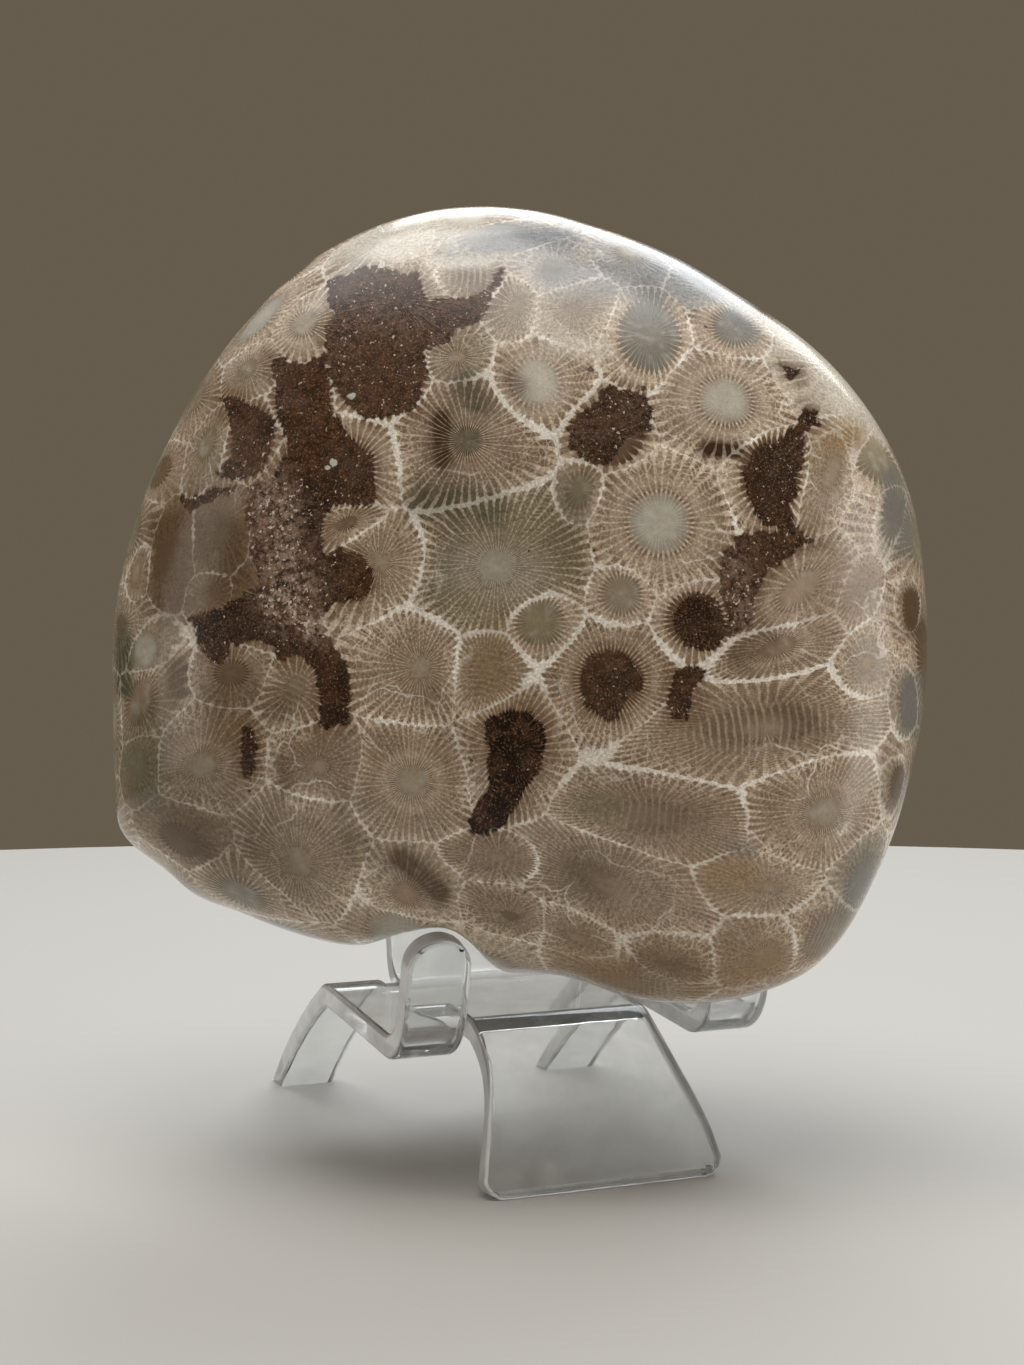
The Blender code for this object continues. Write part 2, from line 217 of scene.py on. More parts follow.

# Places are millimetres across and up in a plane through the middle of the coral, square to
# the camera's line of sight. A cell is an oval: half its width, how many times longer it is,
# the angle of its long side, its disc's share, its septa, the colours of its ground and disc,
# its contrast if it isn't 1, and how much of it is arcs, if any. On the top band and the right
# rim some pale and blue-grey grounds are painted sky reflection.
cells = (
    (2.7, 32.8, 5, 1.05, 0, 0.48, 30, "sand", "mist"),  # white ring
    (6.4, 40.8, 3.7, 1.25, 35, 0.1, 32, "tan", "rose", 0.7),  # tan oval
    (15, 37.6, 4.6, 1.15, 90, 0.72, 38, "sand", "slate"),  # dark disc
    (24, 38.7, 3.7, 1.25, -35, 0.5, 36, "sand", "slate", 0.8),
    (23.3, 30.4, 6.2, 1.15, 0, 0.4, 40, "rose", "mist"),
    (10.5, 27.3, 4.2, 1.1, 0, 0.85, 24, "taupe", "dark", 0.6),
    (28.3, 22.6, 4.8, 1.25, 80, 0.7, 34, "sand", "dark"),
    (16.2, 17.3, 7, 1.02, 0, 0.47, 42, "sand", "mist"),  # the largest disc
    (7.5, 21.1, 2.4, 1.5, 75, 0.6, 18, "fog", "olive", 0.4),
    (12, 9.5, 3.4, 1, 0, 0.66, 32, "sand", "fog"),  # small grey disc
    (3, 6.3, 4, 1.03, 0, 0.66, 34, "sand", "olive", 1.2),  # toothed ring
    (20.1, 6.8, 4.1, 1.05, 0, 0.74, 34, "sand", "dark"),
    (10.8, 0.3, 6.1, 1.03, 0, 0.58, 56, "taupe", "umber", 0.85),
    (34.8, 22.7, 2.9, 2.3, 68, 0.3, 30, "sand", "rose", 0.4, 0.3),
    # the next two cells lie on the upper right and right rim; their pale grounds are painted sky
    # reflection
    (35.2, 33.8, 3, 2.2, -52, 0.3, 24, "pale", "pale", 0.2),
    (41.7, 18.5, 2.2, 2.4, 76, 0.6, 24, "pale", "slate", 0.3),
    (43.4, 7.7, 1.6, 2.4, 84, 0.6, 24, "fog", "umber", 0.3),
    (31.3, 10.3, 3.7, 2, 42, 0.4, 30, "rose", "rose", 0.7),
    (29.1, 4, 2.9, 2.3, 20, 0.35, 40, "rose", "taupe", 0.8),
    (27.2, -4.9, 4.6, 3, 4, 0.3, 60, "sand", "taupe", 0.8, 1),  # long striped cell
    (15, -14.4, 4, 2.4, -8, 0.3, 72, "rose", "fog", 0.7, 0.8),
    (33.8, -14, 5.7, 1.25, 30, 0.3, 60, "sand", "fog", 0.8, 0.2),
    (27.7, -22.1, 3.4, 1.9, -5, 0.2, 44, "sand", "taupe", 0.6),
    (37.9, -21.5, 2.4, 2.2, 58, 0.45, 30, "fog", "slate", 0.4),
    (10.5, -21.9, 4.9, 2.1, -25, 0.25, 68, "rose", "sand", 0.6, 0.3),
    (17, -30.4, 3.3, 1.7, -20, 0.1, 36, "taupe", "umber", 0.5),
    (27.7, -29.6, 3.9, 1.5, 15, 0.3, 40, "taupe", "taupe", 0.35),
    (-1.7, -19, 2.5, 2.3, -5, 0.2, 44, "taupe", "taupe", 0.6, 0.3),
    (-0.4, -25.3, 2.6, 2.2, -18, 0.2, 44, "taupe", "umber", 0.5),
    (7.1, -27.7, 2.7, 2.2, -28, 0.2, 56, "rose", "taupe", 0.5, 0.3),
    (-0.3, -7, 5.4, 1.35, 90, 0.35, 52, "sand", "dark", 0.8),
    (-3, 0.9, 4.4, 1.2, 80, 0.1, 48, "sand", "olive", 0.8, 0.6),
    (-10.2, 1.5, 5.2, 1.15, 90, 0.16, 44, "sand", "fog", 1.1),  # white polygon
    (-11, -10.9, 5.9, 1.05, 0, 0.3, 54, "sand", "fog", 0.8),
    (-14.1, 33.5, 5.2, 1.05, 0, 0.8, 36, "sand", "dark", 0.8),
    (-4.8, 26.1, 7.2, 1.08, 30, 0.22, 46, "rose", "pine"),
    (-1.6, 12.7, 8, 1.15, 20, 0.22, 58, "olive", "mist"),
    (-14.6, 13, 5, 1.08, 0, 0.2, 38, "sand", "fog", 0.9),
    (-22.7, 38.9, 3.3, 1.2, 60, 0.42, 32, "tan", "fog", 0.7),
    (-28.5, 26.4, 3.3, 1.4, 80, 0.8, 26, "taupe", "umber", 0.6),
    (-33.2, 25.7, 2.1, 2.4, 72, 0.4, 24, "fog", "olive", 0.4),
    (-28.8, 33.8, 2.8, 1.7, 50, 0.3, 36, "tan", "olive", 0.5),
    (-31.7, 17.1, 3, 1.7, 80, 0.4, 30, "taupe", "olive", 0.15),
    (-37.5, 13.8, 2.4, 2.4, 80, 0.4, 26, "taupe", "umber", 0.1),
    (-33, 9.2, 2.2, 1.2, 80, 0.3, 24, "fog", "taupe", 0.25),
    (-40.8, 11.7, 1.4, 3.4, 82, 0.3, 24, "sand", "sand", 0.2),
    (-38.3, 23.1, 1.5, 2.6, 70, 0.5, 24, "sand", "umber", 0.3),
    (-40, 3.5, 2.8, 1.5, 90, 0.5, 24, "fog", "mist", 0.1),
    (-33.9, -9, 5.2, 1.2, 0, 0.28, 44, "taupe", "fog", 0.5),
    (-40.8, -9, 2.6, 2, 88, 0.4, 24, "taupe", "olive", 0.2),
    (-36.3, -16.9, 3.9, 1.6, -20, 0.4, 30, "taupe", "umber", 0.2),
    (-23, -19.6, 6.5, 1.15, 110, 0.2, 60, "sand", "fog", 0.7),
    (-23.5, -0.8, 3.3, 1.2, 60, 0.25, 24, "sand", "olive", 1, 0.6),  # small striped piece
    (-21.3, -9, 3.9, 1.3, 0, 0.2, 30, "rose", "rose", 0.5),
    (-30.4, 1.1, 3, 1.3, 0, 0.5, 28, "rose", "umber", 0.3),
    (-11.6, -22.9, 4.6, 1.2, 0, 0.3, 40, "sand", "taupe", 0.6),
    (-4.9, 44.1, 2.2, 1.9, 0, 0.1, 20, "olive", "olive", 0.8, 0.9),
    # the next five cells lie on the top band; their pale and blue-grey grounds are painted sky
    # reflection
    (-13.3, 48.1, 2.2, 3, 22, 0.2, 20, "pale", "pale", 0.2),
    (-2.2, 48.8, 2, 3.2, 3, 0.6, 20, "blue", "blue", 0.2),
    (4.9, 44.9, 2.9, 1.6, 15, 0.35, 34, "blue", "fog", 0.7),
    (13, 46.4, 2.4, 2.2, -20, 0.35, 30, "blue", "fog", 0.4),
    (21.1, 42.9, 2, 2.4, -30, 0.4, 26, "blue", "slate", 0.4),
    (0.3, 40.8, 2.6, 1.5, 80, 0.2, 28, "fog", "fog", 0.7),
    (-5.8, 35.3, 2.8, 1.4, 10, 0.3, 26, "fog", "taupe", 0.5),
    (-17.4, 23.3, 5.2, 1.15, 80, 0.5, 36, "sand", "dark", 0.9),
    (-18.2, 17.4, 2.4, 1.9, 25, 0.3, 26, "taupe", "umber", 0.5),
    (-12.2, 41.6, 4.6, 1.2, 0, 0.5, 30, "taupe", "umber", 0.5),
    (-23.9, 19.8, 4.3, 1.6, 80, 0.5, 30, "taupe", "umber", 0.5),
    (-26.3, 9, 3.9, 1.3, 60, 0.5, 30, "rose", "rose", 0.3),
    (-23, 30.7, 3.3, 1.2, 60, 0.5, 30, "taupe", "umber", 0.5),
    (38, 10.3, 2, 2, 62, 0.2, 30, "sand", "sand", 0.5),
    (38.7, 2.2, 2.6, 1.5, 60, 0.2, 34, "sand", "sand", 0.6),
    (43.2, -2.2, 1.6, 3, 88, 0.6, 24, "fog", "slate", 0.3),
    (41.8, -11.1, 1.5, 2.6, 76, 0.5, 24, "fog", "umber", 0.3),
    # on the right rim: its pale ground is painted sky reflection
    (38, 26.4, 1.5, 3, 72, 0.2, 24, "pale", "pale", 0.2),
)

# stains of brown matrix: how pale the brown is, and the outline
stains = (
    (0.55, ((-20.4, 43), (-19.2, 44.4), (-16.5, 45.5), (-14.1, 45.2), (-12.3, 44.6), (-10.2, 44.3),
        (-8.8, 41.6), (-4.9, 42), (-2.4, 43), (-1.6, 45.1), (-0.4, 45.1), (-2.1, 41.1),
        (-3.8, 39.2), (-6.1, 38.2), (-6.8, 36.9), (-9.6, 36.1), (-9, 33.1), (-9.6, 30.9),
        (-11.3, 29.2), (-14.1, 28.3), (-16.7, 28.6), (-17.7, 30.3), (-19.6, 31.9), (-20.2, 35.7),
        (-20.8, 38.2), (-19.8, 39.8), (-20, 41.7))),  # upper block
    (0.3, ((-24.3, 35.5), (-22.8, 34.7), (-20.2, 35.7), (-19.6, 31.3), (-18.7, 28.3),
        (-17.4, 26.8), (-15.1, 24.8), (-14.5, 22.3), (-14.8, 19.1), (-17.4, 18.8), (-19.2, 19.5),
        (-20.2, 17.6), (-20.5, 14), (-18.7, 14.6), (-17.1, 14.2), (-15.1, 12.4), (-15.1, 10.5),
        (-16.7, 8.9), (-19.2, 8.6), (-21, 6.5), (-19.2, 4.1), (-17.7, 1.2), (-17.2, -1.4),
        (-17.7, -4.4), (-20.2, -5.4), (-21.3, -4.5), (-20.9, -2), (-21.5, 1.5), (-23.2, 2.7),
        (-25.7, 2.3), (-26, 3.8), (-27.6, 4.4), (-30.4, 4.1), (-31.4, 2.1), (-32.9, 2.1),
        (-34.2, 4.1), (-35.2, 7.2), (-32.7, 7.7), (-30.8, 8.9), (-27.4, 10.7), (-27.9, 12.1),
        (-28.7, 15.3), (-29, 18.4), (-28.8, 21.4), (-25.7, 22), (-24.7, 24.8), (-25.3, 28),
        (-26, 30.6), (-26, 33.1), (-26.6, 35.4))),  # long column
    (0.25, ((-32.1, 31.3), (-29.5, 31), (-27, 29.6), (-25.7, 28), (-26, 24.8), (-27, 22.9),
        (-28.8, 21.7), (-31.1, 21.7), (-32.1, 22.9), (-30.8, 24.8), (-30.4, 28),
        (-31.1, 29.3))),  # left oval
    (0.3, ((-36.6, 20.4), (-35.2, 20.1), (-32.1, 21.4), (-29.1, 21.5), (-30.8, 20.5),
        (-34.2, 19.1), (-34.9, 18.3), (-36.2, 19.6))),  # left wedge
    (0.25, ((5.8, 27.7), (7.4, 29.6), (9.2, 30.4), (10.2, 32.4), (12.5, 31.9), (14.3, 31.6),
        (15.3, 29.3), (15.7, 27.1), (13.9, 26.5), (12.8, 26.8), (12.2, 25.5), (10.5, 23.9),
        (8.6, 23.4), (7.4, 24.2), (6.4, 25.8))),  # polygon
    (0.2, ((31.6, 29.9), (33.2, 29.3), (33.4, 28), (32, 26.5), (31.6, 23.2), (31, 22),
        (31.6, 20.7), (30.7, 19.7), (30.3, 16.6), (27.7, 16.6), (26.2, 18.4), (25.2, 20.7),
        (25.2, 22.9), (26.2, 25.5), (28.4, 26.5), (30.3, 28))),  # fringed
    (0.35, ((30.7, 17.1), (27.7, 16.6), (24.6, 15.9), (22.8, 13.8), (22, 11.1), (22.8, 9),
        (23.5, 4.6), (24.8, 5.1), (26.5, 6), (26.6, 8.9), (27.4, 11.4), (30.2, 13.6), (32.9, 15.5),
        (31.3, 16.6))),  # band
    (0.25, ((17.6, 1.5), (19.5, 1.8), (21.2, 1.7), (21.1, 0.6), (20, -0.7), (20.1, -2.7),
        (19.1, -4.1), (17.3, -3.8), (16.4, -2), (17, -0.4))),  # wedge
    (0.2, ((17.2, 7.7), (18.3, 9.3), (20.2, 9.8), (22.2, 9.2), (23.4, 7.4), (23.5, 5.5),
        (22.4, 3.8), (20.4, 3.2), (18.5, 3.8), (17.3, 5.5))),  # round
    (0.6, ((7.1, 0.9), (8, 2.8), (10.5, 3.8), (13.2, 2.8), (14.2, 0.9), (14.3, -0.7), (12.5, -1.7),
        (11.8, -3.9), (10.2, -4.5), (8.4, -3), (7.4, -1))),  # large round
    (0, ((-3, -3.9), (-0.1, -2.8), (1.7, -3), (3.4, -4.5), (3.8, -7.1), (3, -9.6), (1.1, -12.6),
        (-0.1, -14.7), (-2.4, -16.4), (-4.2, -16.4), (-4.9, -15.1), (-3.7, -12.6), (-2.7, -11.9),
        (-3, -9), (-2.7, -6.5), (-3.4, -4.8))),  # drop
    (0.3, ((28.7, 34.8), (31.6, 34.1), (31.4, 32.9), (29.9, 33.1))),  # corner
    (0.2, ((-29.6, -4.7), (-27.9, -4.5), (-27.2, -6.8), (-27.7, -9.5), (-29.1, -10.4),
        (-29.6, -8.4))),  # side spot
)

# soft touches of colour: a line from one end to the other, half its width, strength, colour; those
# along the top band and the upper right rim are painted sky reflection
touches = (
    (-30.4, 16, -29.6, 11.7, 1.4, 0.75, "umber"),
    (-36.2, 1.6, -36.3, -0.6, 1.1, 0.9, "umber"),
    (-42.2, 4.6, -42.2, -0.8, 0.9, 0.9, "pine"),
    (-12.2, -19, -7.8, -22.9, 1.1, 0.9, "umber"),
    (-24.9, -8.6, -24.5, -11.7, 0.9, 0.5, "umber"),
    (-33.9, -16.6, -32.8, -18.4, 1.1, 0.5, "umber"),
    (-7.7, 28.5, -7.5, 24.2, 1.1, 0.85, "dark"),
    (-5, 32.4, -3.7, 30.5, 1.5, 0.6, "pine"),
    (-9.5, 19.8, -2.4, 19.2, 1.8, 0.75, "pine"),
    (24, 39.9, 26.1, 37.9, 0.9, 0.8, "slate"),
    (14.5, 42.4, 15.2, 40.3, 1.2, 0.85, "slate"),
    (21.3, 25.4, 24.6, 25.1, 0.9, 0.9, "dark"),
    (34.8, 26.7, 36.7, 26.8, 1.5, 0.8, "amber"),
    (41.5, 22, 42.2, 14.9, 1.4, 0.85, "slate"),
    (43.3, 9.3, 43.7, 5.7, 1.1, 0.8, "umber"),
    (43.5, 0.3, 43.5, -5.2, 1.1, 0.8, "slate"),
    (42, -10.1, 41.5, -13.1, 1, 0.7, "umber"),
    (38.7, -19.3, 36.7, -24.2, 1.5, 0.7, "slate"),
    (21.7, -21.2, 24.8, -20.6, 2, 0.6, "amber"),
    (23.9, -18.1, 25.9, -18.2, 0.7, 0.8, "slate"),
    (7.4, -20.4, 9.6, -21.5, 2, 0.5, "umber"),
    (24.8, 3, 27.5, 4.6, 1.7, 0.6, "umber"),
    (8.5, -13.3, 10.9, -13.4, 1.5, 0.6, "olive"),
    (13.9, -30.4, 20.4, -31.8, 1.5, 0.45, "umber"),
    (-41.7, -6.8, -41.5, -10.6, 1.5, 0.6, "olive"),
    (5.2, 36.7, 9.6, 36.1, 1.1, 0.5, "pale"),
    # the next eight, along the top band and the upper right rim, are painted sky reflection on the
    # polished stone
    (-16.5, 46.5, -4.6, 50.1, 1.5, 0.6, "pale"),
    (-6.5, 47.2, 6.1, 48.4, 1.3, 0.8, "skyReflectionGrey"),
    (5.2, 44.3, 19, 43.2, 2.2, 0.65, "skyReflectionGrey"),
    (16, 47, 24, 44, 1.6, 0.7, "skyReflectionGrey"),
    (-9, 45.6, -0.5, 45.8, 0.6, 0.7, "pale"),
    (31.3, 38.3, 36.7, 31.8, 2.4, 0.8, "pale"),
    (37.8, 32.9, 40.5, 27.4, 1.3, 0.7, "pale"),
    (18.3, 44.8, 24.8, 41, 1.2, 0.5, "blue"),
    (-2, 20, 8, -4, 12, 0.28, "umber"),
    (-33, 28, -34, -14, 9, 0.22, "umber"),
    (10, -30, 27, -33, 5, 0.25, "amber"),
    (-29, 30, -28, 0, 6, 0.2, "umber"),
    (-37.4, 16.5, -37.2, 9.1, 2.4, 0.8, "umber"),
    (-33.4, 18.5, -31.4, 10.3, 2.4, 0.65, "umber"),
    (-39, -4.5, -39.5, -11.5, 2.6, 0.55, "pine"),
    (-35, -15, -31, -19, 2.6, 0.45, "umber"),
    (-31.5, -2, -26, -2.5, 2.2, 0.45, "umber"),
    (-21.5, -7.5, -14, -6.5, 2.2, 0.25, "umber"),
    (-28.5, -16, -24.5, -22.5, 2.4, 0.35, "umber"),
    (-8.5, -1.5, -5.5, -7.5, 1.6, 0.3, "umber"),
    (33.5, 9, 37.8, 13.3, 3.3, 0.35, "rose"),
    (20.4, 10.1, 23.7, 9, 1.7, 0.2, "rose"),
    (-1.3, 17.7, 3, 15.5, 3.3, 0.3, "olive"),
    (-7.8, 9, -3.5, 6.8, 2.8, 0.25, "olive"),
    (5.2, -30.2, 11.7, -31.8, 1.5, 0.5, "amber"),
    (20.4, -32.9, 29.1, -30.7, 1.3, 0.5, "amber"),
    (-17.6, -12.8, -16.5, -18.2, 2.2, 0.35, "umber"),
    (-23, 4.6, -20.9, 3.5, 0.7, 0.4, "umber"),
    (15.5, -14.9, 20.4, -14.4, 1.5, 0.3, "umber"),
    (29.1, -1.9, 32.4, -5.7, 1.5, 0.35, "umber"),
    (2.5, 33.8, 3.6, 31.8, 1.5, 0.6, "pale"),
    (-0.2, 33.1, 0.9, 32.3, 0.9, 0.6, "umber"),
    (14, -15.5, 22, -16.5, 3, 0.3, "rose"),
    (18, 31, 29, 36, 3, 0.15, "tan"),
    (-2.5, 4, -2, -1, 2.6, 0.35, "amber"),
    (1, 12, -5, 12.5, 2.5, 0.3, "mist"),
    (-6.5, 15.5, -8.5, 10.5, 1.6, 0.3, "pine"),
    (6.5, 20, 6, 15, 1.6, 0.35, "pine"),
)

# the same within the stains
stainTouches = (
    (-26.4, 19.5, -24, 9.5, 2.6, 0.75, "grit"),
    (-25.5, 8.5, -21.5, 6.2, 1.6, 0.85, "grit"),
    (-17, 40, -9, 39.5, 2.6, 0.65, "clay"),
    (-14.5, 35.5, -13.5, 33, 1.3, 0.8, "rust"),
    (-20.6, 30.5, -19.4, 26, 1, 0.7, "rust"),
    (-22.5, 33.5, -22.5, 24, 2, 0.5, "rust"),
    (-29, 28, -29.5, 24.5, 1.6, 0.5, "rust"),
    (-16.5, 9.5, -16.5, 13, 1.6, 0.5, "rust"),
    (7.5, 27, 13, 29.5, 2.2, 0.35, "clay"),
    (23.5, 12.5, 25.5, 7, 2, 0.4, "grit"),
    (-2, 41, 1, 44.5, 1.6, 0.6, "clay"),
    (0.5, -5, -3, -14.5, 3.4, 1, "pitch"),
    (-18.6, -0.5, -19.2, -4, 1.8, 0.7, "pitch"),
    (-28.5, 8, -32.5, 5.5, 2, 0.7, "pitch"),
    (19.5, 5, 21, 8.5, 2.2, 0.6, "pitch"),
)

# where walls are thick and white, as lines in the same form
thickWalls = (
    (-1, 8.1, 1.5, 10.4, 1.2, 1),
    (1.5, 10.4, 5, 10.6, 1.2, 0.8),
    (-1.2, 3.4, 1.5, 1.2, 1.4, 1),
    (1.5, 1.2, 5.5, 1, 1.5, 1),
    (5.5, 1, 10, 6.4, 1.6, 0.9),
    (23.8, 7, 24.2, 3, 1.4, 0.9),
    (24.2, 3, 21, 1.6, 1.5, 1),
    (21, 1.6, 16, 3.5, 1.5, 0.9),
    (24.3, 0.2, 34, 1.2, 1.6, 0.8),
    (3, -9.5, 12, -9, 1.8, 0.8),
    (12, -9, 26, -12, 1.8, 0.8),
    (-9.5, 21, -14, 28, 1.8, 0.6),
    (-14, 28, -8, 29, 1.8, 0.6),
    (-13, 8.5, -4.5, 6.5, 1.6, 0.6),
    (-10, 17.5, 3, 20.5, 1.6, 0.6),
    (3, 20.5, 5.5, 29, 1.8, 0.5),
    (-3, 33, 3, 27.5, 1.8, 0.7),
    (3, 27.5, 8.5, 33, 1.8, 0.7),
    (36, -4, 28, 12, 3, 0.5),
    (10, -26, 36, -26, 3, 0.4),
    (36.5, -1, 38.5, -14, 2, 0.6),
)

# small marks: across, up, half their width, which tint
spots = (
    (8.5, 34, 0.34, "pinhole"),
    (14.3, 31.8, 0.3, "pinhole"),
    (8.5, 14.3, 0.28, "pinhole"),
    (1.85, 14.5, 0.22, "pinhole"),
    (-17.4, 31.1, 0.5, "crystal"),
    (-19.5, 23.9, 0.42, "crystal"),
    (-20, 23.3, 0.34, "crystal"),
    (-4.5, -8.3, 0.24, "pinhole"),
    (-28.6, -11.6, 0.24, "pinhole"),
    (21, 38.7, 0.2, "pinhole"),
)

camPlace = np.array(camera["place"])
tilt = math.radians(camera["tiltDown"])
lookWay = np.array([0.0, math.cos(tilt), -math.sin(tilt)])
lookUp = np.array([0.0, math.sin(tilt), math.cos(tilt)])
lookRight = np.array([1.0, 0.0, 0.0])
middleDistance = float((np.array(coral["centre"]) - camPlace) @ lookWay)


# where a point shows in the view plane: its distances right and up divided by its depth,
# times the depth of the coral's middle; and that depth of its own
def planeOf(point):
    away = point - camPlace
    depth = away @ lookWay
    scale = middleDistance / depth
    return np.stack([away @ lookRight * scale, away @ lookUp * scale], axis=-1), depth


around = np.arange(coral["stepsAround"]) * 360.0 / coral["stepsAround"]
backRows = np.linspace(-90.0, 0.0, coral["rowsBack"])[1:-1]
faceRows = np.linspace(0.0, 90.0, coral["rowsFace"])[:-1]
latitude = np.concatenate([backRows, faceRows])
gridPoint = coralPoint(*np.meshgrid(around, latitude))
poles = coralPoint(np.zeros(2), np.array([-1.0, 1.0]) * coral["poleLatitude"])
sideWay = np.roll(gridPoint, -1, axis=1) - np.roll(gridPoint, 1, axis=1)
gridNormal = np.cross(sideWay, np.gradient(gridPoint, latitude, axis=0))
gridNormal /= np.linalg.norm(gridNormal, axis=-1, keepdims=True)
flatPoint = gridPoint.reshape(-1, 3)
flatNormal = gridNormal.reshape(-1, 3)
flatPlane, flatDepth = planeOf(flatPoint)
seen = ((flatPoint - camPlace) * flatNormal).sum(axis=1) < 0.0
print("coral grid worked out", flatPoint.shape[0], "points")


def seenAt(across, up):  # the seen point nearest to a place in the view plane
    gap = np.hypot(flatPlane[:, 0] - across, flatPlane[:, 1] - up)
    return int(np.where(seen, gap, farAway).argmin())


cellShape = {
    "leastSlope": 0.28,  # how flat a cell may lie to the line of sight
    "sideways": (0.3, 0.2, 0.9),  # reference for the long side of the filled cells
    "deep": 0.7,
}
cellData = {name: [] for name in ("place", "axes", "size", "traits", "ground", "disc", "septa")}


# an oval cell on the surface: its view axes slide along the line of sight on to the
# surface's tangent plane, and a point's place in the cell is its distance along each
# axis over the axis's length
def cellFrame(index, fromCamera, half, stretch, turn):
    place, normal = flatPoint[index], flatNormal[index]
    t = math.radians(turn)
    if fromCamera:
        sight = place - camPlace
        sight = sight / np.linalg.norm(sight)
        scale = flatDepth[index] / middleDistance
        longWay = (lookRight * math.cos(t) + lookUp * math.sin(t)) * half * stretch * scale
        shortWay = (lookUp * math.cos(t) - lookRight * math.sin(t)) * half * scale
        slope = min(-cellShape["leastSlope"], float(sight @ normal))
        longWay = longWay - sight * float(longWay @ normal) / slope
        shortWay = shortWay - sight * float(shortWay @ normal) / slope
    else:
        first = np.cross(normal, cellShape["sideways"])
        first /= np.linalg.norm(first)
        second = np.cross(normal, first)
        longWay = (first * math.cos(t) + second * math.sin(t)) * half * stretch
        shortWay = (second * math.cos(t) - first * math.sin(t)) * half
    longSize = np.linalg.norm(longWay)
    longWay = longWay / longSize
    shortSize = np.linalg.norm(shortWay)
    shortWay = shortWay - longWay * float(shortWay @ longWay)
    shortWay /= np.linalg.norm(shortWay)
    deep = np.cross(longWay, shortWay)
    deepSize = cellShape["deep"] * (longSize + shortSize)
    axes = np.stack([longWay / longSize, shortWay / shortSize, deep / deepSize])
    return place, axes, 0.5 * (longSize + shortSize)


# adds a cell and gives every point's distance to it, the length of its place in the cell
def addCell(index, fromCamera, half, stretch, turn, disc, septa, ground, discHue,
            contrast=1, arcs=0):
    place, axes, size = cellFrame(index, fromCamera, half, stretch, turn)
    values = (place, axes, size, (disc, arcs, contrast), hues[ground], hues[discHue], septa)
    for kept, value in zip(cellData.values(), values):
        kept.append(value)
    return np.linalg.norm((flatPoint - place) @ axes.T, axis=1)


# the sides and the back: the next cell goes where the surface is furthest from all others
fill = {
    "seed": 7,
    "half": (4.6, 6.6),
    "stretch": (1.0, 1.7),
    "enough": 1.25,  # cell sizes
    "frontMiddle": (0.9, 8.0),
    "frontRadius": 42.0,
    "frontShare": 0.45,
    "disc": (0.2, 0.6),
    "arcs": 0.6,
    "plainShare": 0.75,  # of the cells have no arcs
    "contrast": (0.5, 1.0),
    "septa": (28, 46),
    "ground": ("sand", "taupe", "rose", "fog", "sand", "tan"),
    "discHue": ("fog", "mist", "taupe", "slate", "olive", "dark", "umber", "mist"),
}
dice = np.random.default_rng(fill["seed"])
inFront = np.linalg.norm(flatPlane - fill["frontMiddle"], axis=1) < fill["frontRadius"]
frontShare = np.where(seen & inFront, fill["frontShare"], 1.0)
near = np.full(len(flatPoint), farAway)
for across, up, *shape in cells:
    near = np.minimum(near, frontShare * addCell(seenAt(across, up), True, *shape))
while near.max() > fill["enough"]:
    shape = [dice.uniform(*fill["half"]), dice.uniform(*fill["stretch"]), dice.uniform(0, 180)]
    disc = dice.uniform(*fill["disc"])
    arcs = fill["arcs"] * (dice.random() > fill["plainShare"])
    contrast = dice.uniform(*fill["contrast"])
    ground = fill["ground"][dice.integers(len(fill["ground"]))]
    discHue = fill["discHue"][dice.integers(len(fill["discHue"]))]
    septa = int(dice.integers(*fill["septa"]))
    shape += [disc, septa, ground, discHue, contrast, arcs]
    gap = addCell(int(near.argmax()), False, *shape)
    near = np.minimum(near, frontShare * gap)
cellData = {name: np.array(values, float) for name, values in cellData.items()}
print("cells placed", len(cellData["place"]))


# distance of each point to each cell, in cell sizes
def cellDistances(points):
    found = np.empty((len(points), len(cellData["place"])), np.float32)
    for i, (place, axes) in enumerate(zip(cellData["place"], cellData["axes"])):
        found[:, i] = np.linalg.norm((points - place) @ axes.T, axis=1)
    return found


def lineGap(plane, a, b):  # distance to a straight line between two points
    run = b - a
    start = plane - a
    share = np.clip(start @ run / max(float(run @ run), tiny), 0.0, 1.0)
    return np.linalg.norm(start - share[:, None] * run, axis=1)


# how far a point is inside the stains, and the paleness of the stain it is deepest in:
# for each outline the distance to its nearest side, positive inside it; a point is inside
# where a line to its right crosses an odd number of sides
def stainField(plane):
    field = np.full(len(plane), -farAway)
    tone = np.zeros(len(plane))
    for paleness, outline in stains:
        corners = np.array(outline)
        inside = np.zeros(len(plane), bool)
        gap = np.full(len(plane), farAway)
        for a, b in zip(corners, np.roll(corners, -1, axis=0)):
            gap = np.minimum(gap, lineGap(plane, a, b))
            crosses = (a[1] > plane[:, 1]) != (b[1] > plane[:, 1])
            rise = b[1] - a[1] if b[1] != a[1] else 1.0
            crossing = a[0] + (b[0] - a[0]) * (plane[:, 1] - a[1]) / rise
            inside ^= crosses & (plane[:, 0] < crossing)
        depth = np.where(inside, gap, -gap)
        tone = np.where(depth > field, paleness, tone)
        field = np.maximum(field, depth)
    return field, tone


touchFade = {"flatTop": 1.25, "fall": 0.8, "tail": 1e-9}


